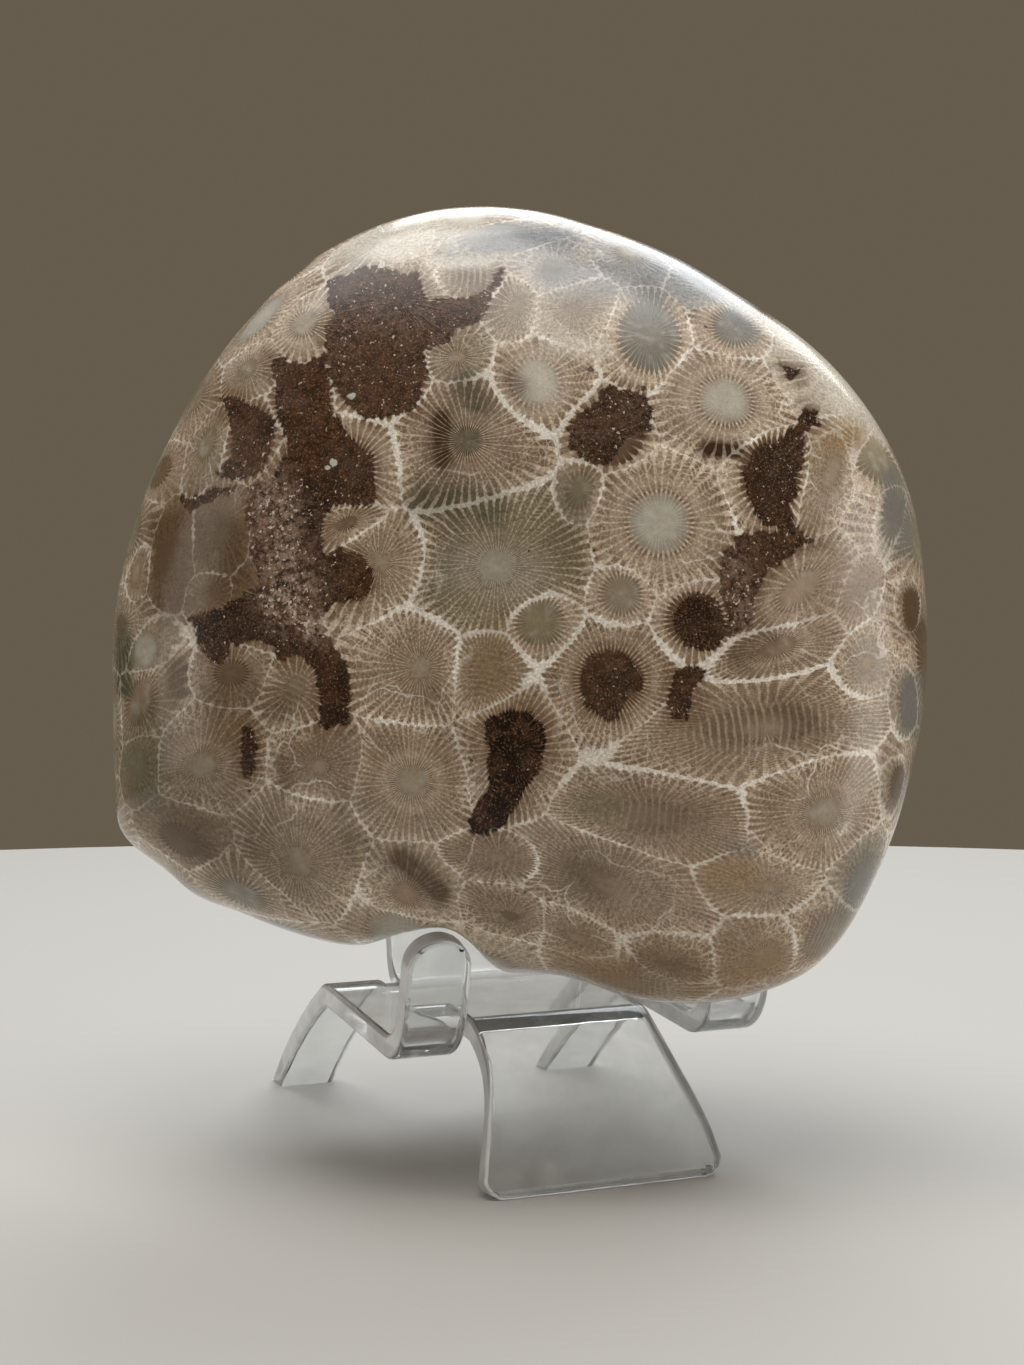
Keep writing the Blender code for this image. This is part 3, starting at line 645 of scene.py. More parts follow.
# colour and strength of the touches at each point: each fades as a bell with the distance
# from its line, and the colours are weighed by those strengths
def touched(marks, plane, shown):
    total = np.full(len(plane), tiny)
    clear = np.ones(len(plane))
    colour = np.zeros((len(plane), 3))
    for x1, y1, x2, y2, half, strength, hue in marks:
        gap = lineGap(plane, np.array([x1, y1]), np.array([x2, y2])) / half
        bell = strength * touchFade["flatTop"] * np.exp(-touchFade["fall"] * gap**2)
        share = np.minimum(bell, strength) + touchFade["tail"] / (1.0 + gap)
        total += share
        clear *= 1.0 - share
        colour += share[:, None] * np.array(hues[hue])
    return np.concatenate([colour / total[:, None], ((1.0 - clear) * shown)[:, None]], axis=1)


def cornerCounts(faceSets):  # corners of each face
    return np.concatenate([np.full(len(faces), faces.shape[1]) for faces in faceSets])


def makeMesh(name, points, *faceSets):  # each set is an array of faces with as many corners
    mesh = bpy.data.meshes.new(name)
    counts = cornerCounts(faceSets)
    corners = np.concatenate([faces.ravel() for faces in faceSets])
    mesh.vertices.add(len(points))
    mesh.vertices.foreach_set("co", np.ascontiguousarray(points * mm, np.float32).ravel())
    mesh.loops.add(len(corners))
    mesh.loops.foreach_set("vertex_index", corners.astype(np.int32))
    mesh.polygons.add(len(counts))
    mesh.polygons.foreach_set("loop_start", (np.cumsum(counts) - counts).astype(np.int32))
    mesh.update(calc_edges=True)
    mesh.validate()
    return mesh


def addObject(name, data):
    made = bpy.data.objects.new(name, data)
    bpy.context.scene.collection.objects.link(made)
    return made


def setAttribute(mesh, name, domain, values):
    kind, key = {3: ("FLOAT_VECTOR", "vector"), 4: ("FLOAT_COLOR", "color")}[values.shape[1]]
    layer = mesh.attributes.new(name, kind, domain)
    layer.data.foreach_set(key, np.ascontiguousarray(values, np.float32).ravel())


def gridQuads(index, across=None):  # a quad between each two rows and columns of the numbers
    a, b = (index[:, :-1], index[:, 1:]) if across is None else (index, across)
    return np.stack([a[:-1], b[:-1], b[1:], a[1:]], axis=-1).reshape(-1, 4)


# quads between the rings of the grid, and a fan of triangles at each pole
def coralFaces(rows, columns):
    index = np.arange(rows * columns).reshape(rows, columns)
    nextOne = np.roll(index, -1, axis=1)
    backPole, facePole = np.full(columns, rows * columns), np.full(columns, rows * columns + 1)
    backFan = np.stack([backPole, nextOne[0], index[0]], axis=-1)
    faceFan = np.stack([facePole, index[-1], nextOne[-1]], axis=-1)
    return gridQuads(index, nextOne), backFan, faceFan


deepest = 4.0  # how far into a stain the depth still counts
coralVerts = np.concatenate([flatPoint, poles])
coralSets = coralFaces(*gridPoint.shape[:2])
coralMesh = makeMesh("coralHead", coralVerts, *coralSets)
faceMiddles = np.concatenate([coralVerts[faces].mean(axis=1) for faces in coralSets])
cornerPoints = coralVerts[np.concatenate([faces.ravel() for faces in coralSets])]
cornerFace = np.repeat(np.arange(len(faceMiddles)), cornerCounts(coralSets))
order = np.argsort(cellDistances(faceMiddles), axis=1)[:, :4]  # the four nearest cells
for rank in range(4):
    ofFace = order[:, rank]
    ofCorner = ofFace[cornerFace]
    away = cornerPoints - cellData["place"][ofCorner]
    local = np.einsum("nij,nj->ni", cellData["axes"][ofCorner], away)
    form = np.stack([cellData["size"][ofFace], cellData["septa"][ofFace], ofFace + 1.0], axis=-1)
    setAttribute(coralMesh, "cell%d" % rank, "CORNER", local)
    setAttribute(coralMesh, "form%d" % rank, "FACE", form)
nearest = cellDistances(coralVerts).argmin(axis=1)
plane, _ = planeOf(coralVerts)
shown = np.concatenate([seen, [False, True]])
for name in ("traits", "ground", "disc"):
    setAttribute(coralMesh, name, "POINT", cellData[name][nearest])
# touches: stone colour, and painted sky reflection along the top band and upper right rim
setAttribute(coralMesh, "touch", "POINT", touched(touches, plane, shown))
setAttribute(coralMesh, "stainTouch", "POINT", touched(stainTouches, plane, shown))
depthIn, paleness = stainField(plane)
depthIn = np.where(shown, np.clip(depthIn, -deepest, deepest), -deepest)
thickness = touched([(*wall, "pale") for wall in thickWalls], plane, shown)[:, 3]
setAttribute(coralMesh, "stain", "POINT", np.stack([depthIn, paleness, thickness], axis=-1))
coralHead = addObject("coralHead", coralMesh)
print("coral mesh made", len(coralMesh.polygons), "faces")


# adds shader nodes; a value is a number, a colour or another node's socket
class Shade:
    rows, gapAcross, gapDown = 12, 200, 160

    def __init__(self, tree):
        self.tree = tree
        self.count = 0

    def put(self, socket, value):
        if isinstance(value, bpy.types.NodeSocket):
            self.tree.links.new(value, socket)
        elif isinstance(value, tuple) and socket.type == "RGBA":
            socket.default_value = (*value, 1.0)
        else:
            socket.default_value = value

    def add(self, kind, *values, **settings):  # the values go to its inputs in their order
        node = self.tree.nodes.new(kind)
        column, row = divmod(self.count, self.rows)
        node.location = (column * self.gapAcross, -row * self.gapDown)
        self.count += 1
        for key, setting in settings.items():
            setattr(node, key, setting)
        for socket, value in zip([i for i in node.inputs if i.enabled], values):
            self.put(socket, value)
        return node

    def math(self, operation, *values):
        return self.add("ShaderNodeMath", *values, operation=operation).outputs[0]

    def plus(self, first, *others):
        for value in others:
            first = self.math("ADD", first, value)
        return first

    def times(self, first, *others):
        for value in others:
            first = self.math("MULTIPLY", first, value)
        return first

    def minus(self, a, b):
        return self.math("SUBTRACT", a, b)

    def least(self, a, b):
        return self.math("MINIMUM", a, b)

    def most(self, a, b):
        return self.math("MAXIMUM", a, b)

    def vector(self, operation, *values):
        node = self.add("ShaderNodeVectorMath", *values, operation=operation)
        return node.outputs["Value" if operation in ("LENGTH", "DISTANCE") else "Vector"]

    def place(self):  # in millimetres
        return self.vector("SCALE", self.add("ShaderNodeTexCoord").outputs["Object"], 1.0 / mm)

    def parts(self, vector):
        return self.add("ShaderNodeSeparateXYZ", vector).outputs

    def attribute(self, name, output="Vector"):
        return self.add("ShaderNodeAttribute", attribute_name=name).outputs[output]

    def ramp(self, value, low, high, start=0.0, end=1.0, kind="SMOOTHSTEP"):
        values = (value, low, high, start, end)
        return self.add("ShaderNodeMapRange", *values, interpolation_type=kind).outputs[0]

    def mix(self, share, a, b, **settings):
        node = self.add("ShaderNodeMix", share, a, b, **{"data_type": "RGBA", **settings})
        return [o for o in node.outputs if o.enabled][0]

    def product(self, a, b):  # of two colours
        return self.mix(1.0, a, b, blend_type="MULTIPLY")

    def noise(self, place, scale, detail, rough=0.5, output="Fac"):
        return self.add("ShaderNodeTexNoise", place, scale, detail, rough).outputs[output]

    def lines(self, place, scale):  # distance to the edges of random cells
        node = self.add("ShaderNodeTexVoronoi", place, scale, feature="DISTANCE_TO_EDGE")
        return node.outputs["Distance"]

    def bell(self, value, middle, width):  # exp of minus the square
        off = self.math("DIVIDE", self.minus(value, middle), width)
        return self.math("EXPONENT", self.times(off, off, -1.0))

    def bump(self, height, strength, distance):
        node = self.add("ShaderNodeBump", strength, distance * mm)
        self.put(node.inputs["Height"], height)
        return node.outputs[0]


def newMaterial(name):
    material = bpy.data.materials.new(name)
    material.use_nodes = True
    return material, Shade(material.node_tree), material.node_tree.nodes["Principled BSDF"].inputs


look = {  # of the coral
    "tints": {
        "wall": (0.97, 0.91, 0.81),
        "septum": (0.79, 0.65, 0.495),
        "shade": (0.34, 0.28, 0.225),  # multiplies the ground between septa
        "cloud": (0.27, 0.19, 0.115),
        "middle": (0.18, 0.125, 0.078),
        "patch": (0.52, 0.42, 0.30),
        "streak": (0.15, 0.098, 0.054),
        "arcDark": (0.15, 0.10, 0.062),
        "arcPale": (0.43, 0.34, 0.245),
        "discBright": (1.35, 1.35, 1.35),  # multiplies the middle of the disc
        "discRim": (0.5, 0.46, 0.40),  # multiplies its rim
        "discPale": (0.62, 0.60, 0.53),
        "margin": (0.16, 0.092, 0.048),
        "matrix": (0.017, 0.0072, 0.0025),
        "matrixPale": (0.265, 0.160, 0.100),
        "matrixRed": (0.13, 0.062, 0.032),
        "rust": (0.085, 0.034, 0.012),
        "speck": (0.68, 0.58, 0.48),
        "pit": (0.012, 0.006, 0.004),
        "crystal": (0.62, 0.60, 0.54),
        "pinhole": (0.03, 0.015, 0.01),
    },
    "noises": {  # scale, detail, roughness
        "wander": (1, 4, 0.6), "streaks": (1, 3, 0.6), "web": (0.8, 2, 0.5),
        "veins": (0.16, 3, 0.5), "cloud": (0.09, 4, 0.6), "patch": (0.35, 4, 0.65),
        "grain": (3.2, 4, 0.75), "fine": (4.5, 3, 0.75), "coarse": (1.3, 5, 0.72),
        "specks": (2.2, 2, 0.6),
    },
    "swings": {  # noises about zero: scale, detail, amount
        "phase": (0.22, 2, 7.5), "phaseFine": (0.9, 3, 2.2), "ridge": (1.7, 2, 0.7),
        "bars": (0.5, 2, 12), "disc": (0.5, 3, 0.13), "wall": (1.2, 3, 0.26), "arcs": (0.2, 3, 12),
        "stain": (1, 4, 1.2), "stainWide": (0.36, 3, 1.7), "margin": (0.35, 3, 3),
        "spot": (1.5, 2, 0.7),
    },
    "patches": {  # scale, detail, roughness, then from, to, and the values there
        "bars": (0.16, 2, 0.5, 0.35, 0.65, 0.2, 1), "web": (0.13, 2, 0.5, 0.4, 0.58),
        "veins": (0.1, 2, 0.5, 0.46, 0.6), "bright": (0.17, 3, 0.6, 0.38, 0.68),
        "halo": (0.7, 4, 0.65, 0.35, 0.65), "arcs": (0.3, 2, 0.5, 0.25, 0.5),
        "dashes": (0.25, 2, 0.5, 0.42, 0.6, 0, 0.7),
        "discGround": (0.5, 4, 0.6, 0.35, 0.75, 0, 0.35),
        "discPale": (0.8, 4, 0.65, 0.48, 0.68, 0, 0.45),
        "matrixPale": (0.2, 4, 0.65, 0.3, 0.7, 0.2, 0.8),
        "matrixRed": (0.45, 4, 0.6, 0.45, 0.7, 0, 0.45),
        "matrixSepta": (0.3, 2, 0.5, 0.45, 0.65, 0, 0.16),
        "rust": (0.7, 4, 0.65, 0.52, 0.7, 0, 0.55),
    },
    "fades": {  # from, to, and the values there
        "ringDisc": (0.12, 0.3), "wallZone": (0.8, 0.98), "between": (-0.55, 0.45, 1, 0),
        "bars": (0.35, 0.95), "barZone": (0.3, 0.8, 0.1, 0.38), "webLine": (0.12, 0.02),
        "webZone": (0.55, 0.9), "veinLine": (0.02, 0.004), "veinZone": (0.05, 0.25),
        "disc": (0.04, -0.04), "wall": (0.09, -0.09), "halo": (1.3, 0.1), "arcWave": (-0.1, 0.95),
        "arcZone": (0.8, 0.35), "cloud": (0.35, 0.65, 0, 0.55), "middle": (0.25, 0.95, 0.36, 0),
        "patch": (0.55, 0.75, 0, 0.4), "streaks": (0.5, 0.3, 0, 0.55), "streakContrast": (0, 0.8),
        "discMiddle": (0, 0.5, 0.9, 0), "discTone": (0.1, 0.25), "discRim": (-0.22, 0, 0, 0.42),
        "discContrast": (0, 0.4), "discSepta": (-0.3, 0, 0.06, 0.4),
        "discGrain": (0.66, 0.8, 0, 0.2), "touch": (0.25, 0.55, 0.85, 1.25),
        "stain": (-0.12, 0.22), "margin": (-1.8, 0.3), "stainTouch": (0.3, 0.6),
        "matrixDark": (0.42, 0.58, 0.65, 0), "matrixPale": (0.55, 0.64, 0, 0.62),
        "speckBoost": (0.05, 0.3, -0.05, 0.08), "specks": (0.65, 0.71, 0, 0.8),
        "pits": (0.46, 0.3, 0, 0.75), "grain": (0.28, 0.74, 1.34, 0.6),
        "roughStain": (0.35, 0.7, 0, 0.12), "roughGrain": (0.5, 0.8, 0, 0.06),
    },
    "wander": (1.9, 3.7, 0.26),  # scale, shift from cell to cell, amount in cell sizes
    "streakStretch": (0.30, 0.45, 7.3),  # across the septa, along them, from cell to cell
    "ring": (0.022, 0.042),  # middle and width past the disc
    "paleRing": (0.19, 0.12),
    "ridge": (0.80, -0.60, 1.3),  # threshold of a septum, near rings and walls, in streaks
    "ridgeSides": (0.20, 0.17),
    "barsPerMm": 2.0,
    "barBricks": 2.6,
    "web": (1.15, 1.2),  # scale, wander
    "veins": (0.13, 7.0),
    "discTeeth": 0.08,
    "wallHalf": 0.05,  # mm
    "wallTeeth": 0.17,
    "teethLeast": 0.25,
    "wallBright": 0.10,
    "wallThick": 0.20,
    "arcsPerMm": 1.875,
    "arcBow": 5.0,
    "arcHides": 0.8,
    "between": (0.20, 0.52),  # shade between septa, more of it at the ring
    "paleRingShare": 0.30,
    "haloShare": (0.25, 0.42),
    "webShare": 0.60,
    "beads": (0.72, 0.40),
    "septa": (0.47, 0.20, 0.30),  # share, more at the ring, at walls
    "arcShare": 0.75,
    "discShare": (0.94, 0.75),  # less by this where arcs run
    "veinShare": 0.45,
    "wallShare": (0.42, 0.50, 0.45),
    "touchLines": 0.38,
    "stainTeeth": -0.16,
    "marginShare": (0.75, 0.55),
    "spotShare": 0.85,
    "spotSoft": 0.6,
    "grainOffDisc": 0.6,
    "roughness": 0.13,
    "ior": 1.5,
    "gloss": (0.5, 0.25),  # less by this in stains
    "bump": (0.3, 0.06),  # strength, distance
    "bumpParts": (0.4, 0.5, 1.6),  # septa, grain, depth of stains
}
tints = look["tints"]
coralMaterial, s, surface = newMaterial("polishedCoral")
place = s.place()


# the coral's noises, swings, patches and fades by their names: a swing is a noise about zero
# times its amount, a patch a noise that fades in between two of its values
def noise(name, output="Fac"):
    return s.noise(place, *look["noises"][name], output)


def swing(name):
    scale, detail, amount = look["swings"][name]
    return s.times(s.minus(s.noise(place, scale, detail), 0.5), amount)


def patchy(name):
    scale, detail, rough, *span = look["patches"][name]
    return s.ramp(s.noise(place, scale, detail, rough), *span)


def fade(value, name):
    return s.ramp(value, *look["fades"][name])


# each cell's distance wanders by its own noise; the nearest and the second nearest of four
# are found in pairs
localPlaces = [s.attribute("cell%d" % i) for i in range(4)]
forms = [s.attribute("form%d" % i) for i in range(4)]
wanderScale, wanderShift, wanderAmount = look["wander"]
distances = []
for local, form in zip(localPlaces, forms):
    ownPlace = s.vector("ADD", s.vector("SCALE", local, wanderScale),
                        s.vector("SCALE", form, wanderShift))
    wander = s.times(s.noise(ownPlace, *look["noises"]["wander"]), wanderAmount)
    distances.append(s.plus(s.vector("LENGTH", local), wander))
low01, high01 = s.least(*distances[:2]), s.most(*distances[:2])
low23, high23 = s.least(*distances[2:]), s.most(*distances[2:])
first = s.least(low01, low23)
second = s.least(s.most(low01, low23), s.least(high01, high23))
pick01 = s.math("LESS_THAN", distances[1], distances[0])
pick23 = s.math("LESS_THAN", distances[3], distances[2])
pickFar = s.math("LESS_THAN", low23, low01)


def pickCell(four):  # the value that belongs to the nearest of the four cells
    near = s.mix(pick01, four[0], four[1], data_type="VECTOR")
    far = s.mix(pick23, four[2], four[3], data_type="VECTOR")
    return s.mix(pickFar, near, far, data_type="VECTOR")


local = pickCell(localPlaces)
size, count, identity = s.parts(pickCell(forms))
localX, localY, _ = s.parts(local)
discSize, arcs, contrast = s.parts(s.attribute("traits"))
depthIn, paleness, thick = s.parts(s.attribute("stain"))
radius = s.vector("LENGTH", local)
outer = s.math("DIVIDE", s.times(first, 2.0), s.plus(first, second))
pastDisc = s.minus(radius, discSize)
alongSeptum = s.times(radius, size)

# septa: a cosine of the angle times their number, with two noises in its phase; streaks are
# a noise stretched along them
angle = s.math("ARCTAN2", localY, localX)
phase = s.plus(s.times(angle, count), swing("phase"), swing("phaseFine"))
wave = s.math("COSINE", phase)
stretched = zip((phase, alongSeptum, identity), look["streakStretch"])
streakPlace = s.add("ShaderNodeCombineXYZ", *[s.times(way, scale) for way, scale in stretched])
streaks = s.noise(streakPlace.outputs[0], *look["noises"]["streaks"])
ringDisc = fade(discSize, "ringDisc")
ringZone = s.times(s.bell(pastDisc, *look["ring"]), ringDisc)
paleRing = s.times(s.bell(pastDisc, *look["paleRing"]), ringDisc)
wallZone = fade(outer, "wallZone")
start, nearRing, inStreaks = look["ridge"]
threshold = s.plus(start, s.times(s.most(ringZone, wallZone), nearRing), swing("ridge"),
                   s.times(s.minus(0.5, streaks), inStreaks))
below, above = look["ridgeSides"]
ridge = s.ramp(wave, s.minus(threshold, below), s.plus(threshold, above))
between = fade(wave, "between")

# thin cross bars between the septa, in turns like brickwork, and a web near the walls
bricks = s.times(s.math("COSINE", s.times(phase, 0.5)), look["barBricks"])
barTurns = s.times(alongSeptum, 2.0 * math.pi * look["barsPerMm"])
bars = fade(s.math("SINE", s.plus(barTurns, bricks, swing("bars"))), "bars")
webScale, webWander = look["web"]
webPlace = s.vector("ADD", place, s.vector("SCALE", noise("web", "Color"), webWander))
webLine = fade(s.lines(webPlace, webScale), "webLine")
web = s.times(webLine, fade(outer, "webZone"), patchy("web"))

# loose veins that wander through the cells
veinScale, veinWander = look["veins"]
veinPlace = s.vector("ADD", place, s.vector("SCALE", noise("veins", "Color"), veinWander))
veins = s.times(fade(s.lines(veinPlace, veinScale), "veinLine"), patchy("veins"),
                fade(pastDisc, "veinZone"))

# discs with a toothed rim, and walls that the septa widen
toothEdge = s.plus(pastDisc, s.times(ridge, look["discTeeth"]), swing("disc"))
discMask = fade(toothEdge, "disc")
wallGap = s.times(s.minus(second, first), size, 0.5)
bright = s.most(patchy("bright"), thick)
least = look["teethLeast"]
teeth = s.times(ridge, s.plus(least, s.times(bright, 1.0 - least)), look["wallTeeth"])
wallSide = s.plus(look["wallHalf"], teeth, s.times(bright, look["wallBright"]),
                  s.times(thick, look["wallThick"]), swing("wall"))
wallMask = fade(s.minus(wallGap, wallSide), "wall")
halo = s.times(fade(wallGap, "halo"), patchy("halo"))

# long cells cut aslant: fine arcs across their length
arcPhase = s.plus(s.times(localX, size, 2.0 * math.pi * look["arcsPerMm"]),
                  s.times(localY, localY, look["arcBow"]), swing("arcs"))
arcWave = fade(s.math("SINE", arcPhase), "arcWave")
arcMask = s.times(arcs, fade(radius, "arcZone"), patchy("arcs"))
mild = s.times(s.least(contrast, 1.0), s.minus(1.0, s.times(arcMask, look["arcHides"])))

# ground of the cells
grain, patch = noise("grain"), noise("patch")
ground = s.mix(fade(noise("cloud"), "cloud"), s.attribute("ground"), tints["cloud"])
ground = s.mix(fade(outer, "middle"), ground, tints["middle"])
ground = s.mix(fade(patch, "patch"), ground, tints["patch"])
streakShare = s.times(fade(streaks, "streaks"), fade(contrast, "streakContrast"))
ground = s.mix(streakShare, ground, tints["streak"])
plain, atRing = look["between"]
dashes = s.times(wallZone, patchy("dashes"))
shadeShare = s.times(between, mild, s.plus(plain, s.times(ringZone, atRing), dashes))
colour = s.mix(shadeShare, ground, s.product(ground, tints["shade"]))

# pale lines over it, one after another
least, haloShare = look["haloShare"]
septaShare, atRing, atWall = look["septa"]
beads = s.plus(look["beads"][0], s.times(bars, look["beads"][1]))
lineShares = (
    s.times(paleRing, mild, look["paleRingShare"]),
    s.times(halo, s.plus(least, s.times(mild, 1.0 - least)), haloShare),
    s.times(bars, patchy("bars"), fade(outer, "barZone"), mild),
    s.times(web, look["webShare"]),
    s.times(ridge, mild, beads,
            s.plus(septaShare, s.times(ringZone, atRing), s.times(wallZone, atWall))),
)
for share in lineShares:
    colour = s.mix(share, colour, tints["septum"])
arcColour = s.mix(arcWave, tints["arcDark"], tints["arcPale"])
colour = s.mix(s.times(arcMask, look["arcShare"]), colour, arcColour)

# discs
disc = s.attribute("disc")
discRed, discGreen, _ = s.parts(disc)
discColour = s.mix(fade(radius, "discMiddle"), disc, s.product(disc, tints["discBright"]))
discColour = s.mix(patchy("discGround"), discColour, ground)
paleShare = s.times(patchy("discPale"), fade(s.most(discRed, discGreen), "discTone"))
discColour = s.mix(paleShare, discColour, tints["discPale"])
discColour = s.mix(fade(pastDisc, "discRim"), discColour, s.product(discColour, tints["discRim"]))
discSepta = s.times(ridge, fade(contrast, "discContrast"), fade(pastDisc, "discSepta"))
discColour = s.mix(discSepta, discColour, tints["septum"])
discColour = s.mix(fade(grain, "discGrain"), discColour, tints["septum"])
full, lessInArcs = look["discShare"]
colour = s.mix(s.times(discMask, s.minus(full, s.times(arcs, lessInArcs))), colour, discColour)

# veins and walls, then the soft touches, among them painted sky reflection on the top band and
# upper right rim, with the lines still in them
colour = s.mix(s.times(veins, look["veinShare"]), colour, tints["wall"])
dull, faint, byContrast = look["wallShare"]
wallShare = s.times(wallMask, s.plus(dull, s.times(bright, 1.0 - dull)),
                    s.plus(faint, s.times(contrast, byContrast)))
colour = s.mix(wallShare, colour, tints["wall"])
kept = s.times(s.most(s.times(ridge, mild), wallMask), look["touchLines"])
touchColour = s.mix(kept, s.attribute("touch", "Color"), colour)
touchShare = s.times(s.attribute("touch", "Alpha"), fade(patch, "touch"))
colour = s.mix(s.least(touchShare, 1.0), colour, touchColour)

# brown matrix: fills the stains up to an edge roughened by noise and by the septa
stainTeeth = s.times(ridge, look["stainTeeth"])
stainMask = fade(s.plus(depthIn, swing("stain"), swing("stainWide"), stainTeeth), "stain")
full, lessOnLines = look["marginShare"]
offLines = s.minus(full, s.times(s.most(ridge, wallMask), lessOnLines))
margin = s.times(fade(s.plus(depthIn, swing("margin")), "margin"), offLines)
colour = s.mix(margin, colour, tints["margin"])
fine, coarse = noise("fine"), noise("coarse")
stainColour, stainAlpha = s.attribute("stainTouch", "Color"), s.attribute("stainTouch", "Alpha")
paleShare = s.times(paleness, patchy("matrixPale"))
matrix = s.mix(paleShare, tints["matrix"], tints["matrixPale"])
matrix = s.mix(s.times(stainAlpha, fade(coarse, "stainTouch")), matrix, stainColour)
speckBoost = s.times(stainAlpha, fade(s.parts(stainColour)[0], "speckBoost"))
matrixLayers = (
    (fade(coarse, "matrixDark"), "matrix"),
    (patchy("matrixRed"), "matrixRed"),
    (s.times(ridge, patchy("matrixSepta")), "matrixPale"),
    (patchy("rust"), "rust"),
    (fade(fine, "matrixPale"), "matrixPale"),
    (fade(s.plus(noise("specks"), speckBoost), "specks"), "speck"),
    (fade(fine, "pits"), "pit"),
)
for share, tint in matrixLayers:
    matrix = s.mix(share, matrix, tints[tint])
colour = s.mix(stainMask, colour, matrix)

# pinholes and crystals: within a distance of their places
for across, up, half, kind in spots:
    centre = tuple(float(v) for v in flatPoint[seenAt(across, up)])
    edge = s.plus(s.vector("DISTANCE", place, centre), swing("spot"))
    mark = s.ramp(edge, half, half * look["spotSoft"])
    colour = s.mix(s.times(mark, look["spotShare"]), colour, tints[kind])
grainShare = s.times(discMask, look["grainOffDisc"])
grainTone = s.mix(grainShare, fade(grain, "grain"), 1.0, data_type="FLOAT")
s.put(surface["Base Color"], s.product(colour, grainTone))
roughStain = s.times(stainMask, fade(fine, "roughStain"))
s.put(surface["Roughness"], s.plus(look["roughness"], roughStain, fade(grain, "roughGrain")))
s.put(surface["IOR"], look["ior"])
gloss, lessInStains = look["gloss"]
s.put(surface["Specular IOR Level"], s.minus(gloss, s.times(stainMask, lessInStains)))
ofSepta, ofGrain, stainDepth = look["bumpParts"]
height = s.plus(s.times(ridge, ofSepta), s.times(grain, ofGrain),
                s.times(stainMask, s.plus(fine, -stainDepth)))
s.put(surface["Normal"], s.bump(height, *look["bump"]))
coralMesh.materials.append(coralMaterial)
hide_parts("coral_head")
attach(coralHead, "root")
print("coral finished")


# side view of a bent strip: each move is a straight length, or a radius and a turn whose
# heading changes evenly along the arc; the points are the running sum of its chords
def bendPath(start, heading, moves):
    points = [np.array([start], float)]
    for measure, turn in moves:
        if turn:
            steps = max(1, round(abs(turn) / stand["arcStep"]))
            chord = 2.0 * measure * math.sin(math.radians(abs(turn) / steps / 2.0))
            headings = heading + turn / steps * (np.arange(steps) + 0.5)
        else:
            chord = measure
            headings = np.array([heading])
        run = np.stack([np.cos(np.radians(headings)), np.sin(np.radians(headings))], axis=-1)
        points.append(points[-1][-1] + np.cumsum(run * chord, axis=0))
        heading += turn
    return np.concatenate(points)


def platePoint(forward):  # on the plate, which falls by the tangent of its angle
    drop = (forward - stand["plateRear"]) * math.tan(math.radians(stand["plateFall"]))
    return forward, stand["plateHeight"] - drop


def carryTo(path, height):  # carries the last run of a path on to a height
    share = (height - path[-2, 1]) / (path[-1, 1] - path[-2, 1])
    return np.concatenate([path[:-1], [path[-2] + (path[-1] - path[-2]) * share]])


def pathLengths(path):  # running sum of its chords
    return np.concatenate([[0.0], np.cumsum(np.hypot(*np.diff(path, axis=0).T))])


def standWorld(lateral, forward, up):  # turned about Z and moved to its place
    turn = math.radians(stand["turn"])
    x = stand["place"][0] + lateral * math.cos(turn) + forward * math.sin(turn)
    y = stand["place"][1] + lateral * math.sin(turn) - forward * math.cos(turn)
    return np.stack([x, y, up], axis=-1)


# a grid along a bent strip: lateral is a share of the half width; at a rounded end the last
# rows and the outer columns bend together, as a square is laid on a quarter disc: each side
# of the square is shortened by the root of one less half the other side squared
def stripGrid(path, shares, middle, half, corner=0.0, end=None, flare=None):
    lengths = pathLengths(path)
    end = lengths[-1] if end is None else end
    plain = np.append(lengths[lengths < end - corner - stand["rowSpace"]], end - corner)
    capRows = max(1, round(corner / stand["rowSpace"])) if corner else 0
    rows = np.linspace(0.0, 1.0, capRows + 1)[1:, None]
    size = np.abs(shares)[None, :]
    straight = 1.0 - corner / half
    outer = np.clip((size - straight) / max(1.0 - straight, tiny), 0.0, 1.0)
    capStops = end - corner + corner * rows * np.sqrt(1.0 - outer**2 / 2.0)
    stops = np.concatenate([np.repeat(plain[:, None], len(shares), axis=1), capStops])
    forward = np.interp(stops, lengths, path[:, 0])
    up = np.interp(stops, lengths, path[:, 1])
    halves = half if flare is None else flare(up)
    lateral = size * halves * np.ones_like(stops)
    bent = half - corner + corner * outer * np.sqrt(1.0 - rows**2 / 2.0)
    lateral[len(plain):] = np.where(size <= straight, size * half, bent)
    return standWorld(middle + np.sign(shares) * lateral, forward, up)


def footFlare(up):  # the front foot widens by a smooth step from its neck to the ground
    top = platePoint(stand["plateFront"])[1]
    widening = (stand["footHalf"] - stand["neckHalf"]) * smoothStep(top - up, 1.0, top)
    return stand["neckHalf"] + widening


# clear acrylic, a little hazy; cut edges are duller
clearLook = {
    "clearAcrylic": {
        "colour": (0.95, 0.97, 0.975), "through": (0.95, 0.84), "roughness": (0.02, 0.10)},
    "acrylicEdge": {
        "colour": (0.96, 0.975, 0.98), "through": (0.56, 0.40), "roughness": (0.10, 0.24)},
}
clearBody = {
    "ior": 1.49,
    "haze": (0.25, 4.0, 0.6),  # scale, detail, roughness
    "through": (0.35, 0.7),
    "rough": (0.35, 0.8),
    "waves": (0.12, 2.0),
    "bump": (0.15, 0.1),
}


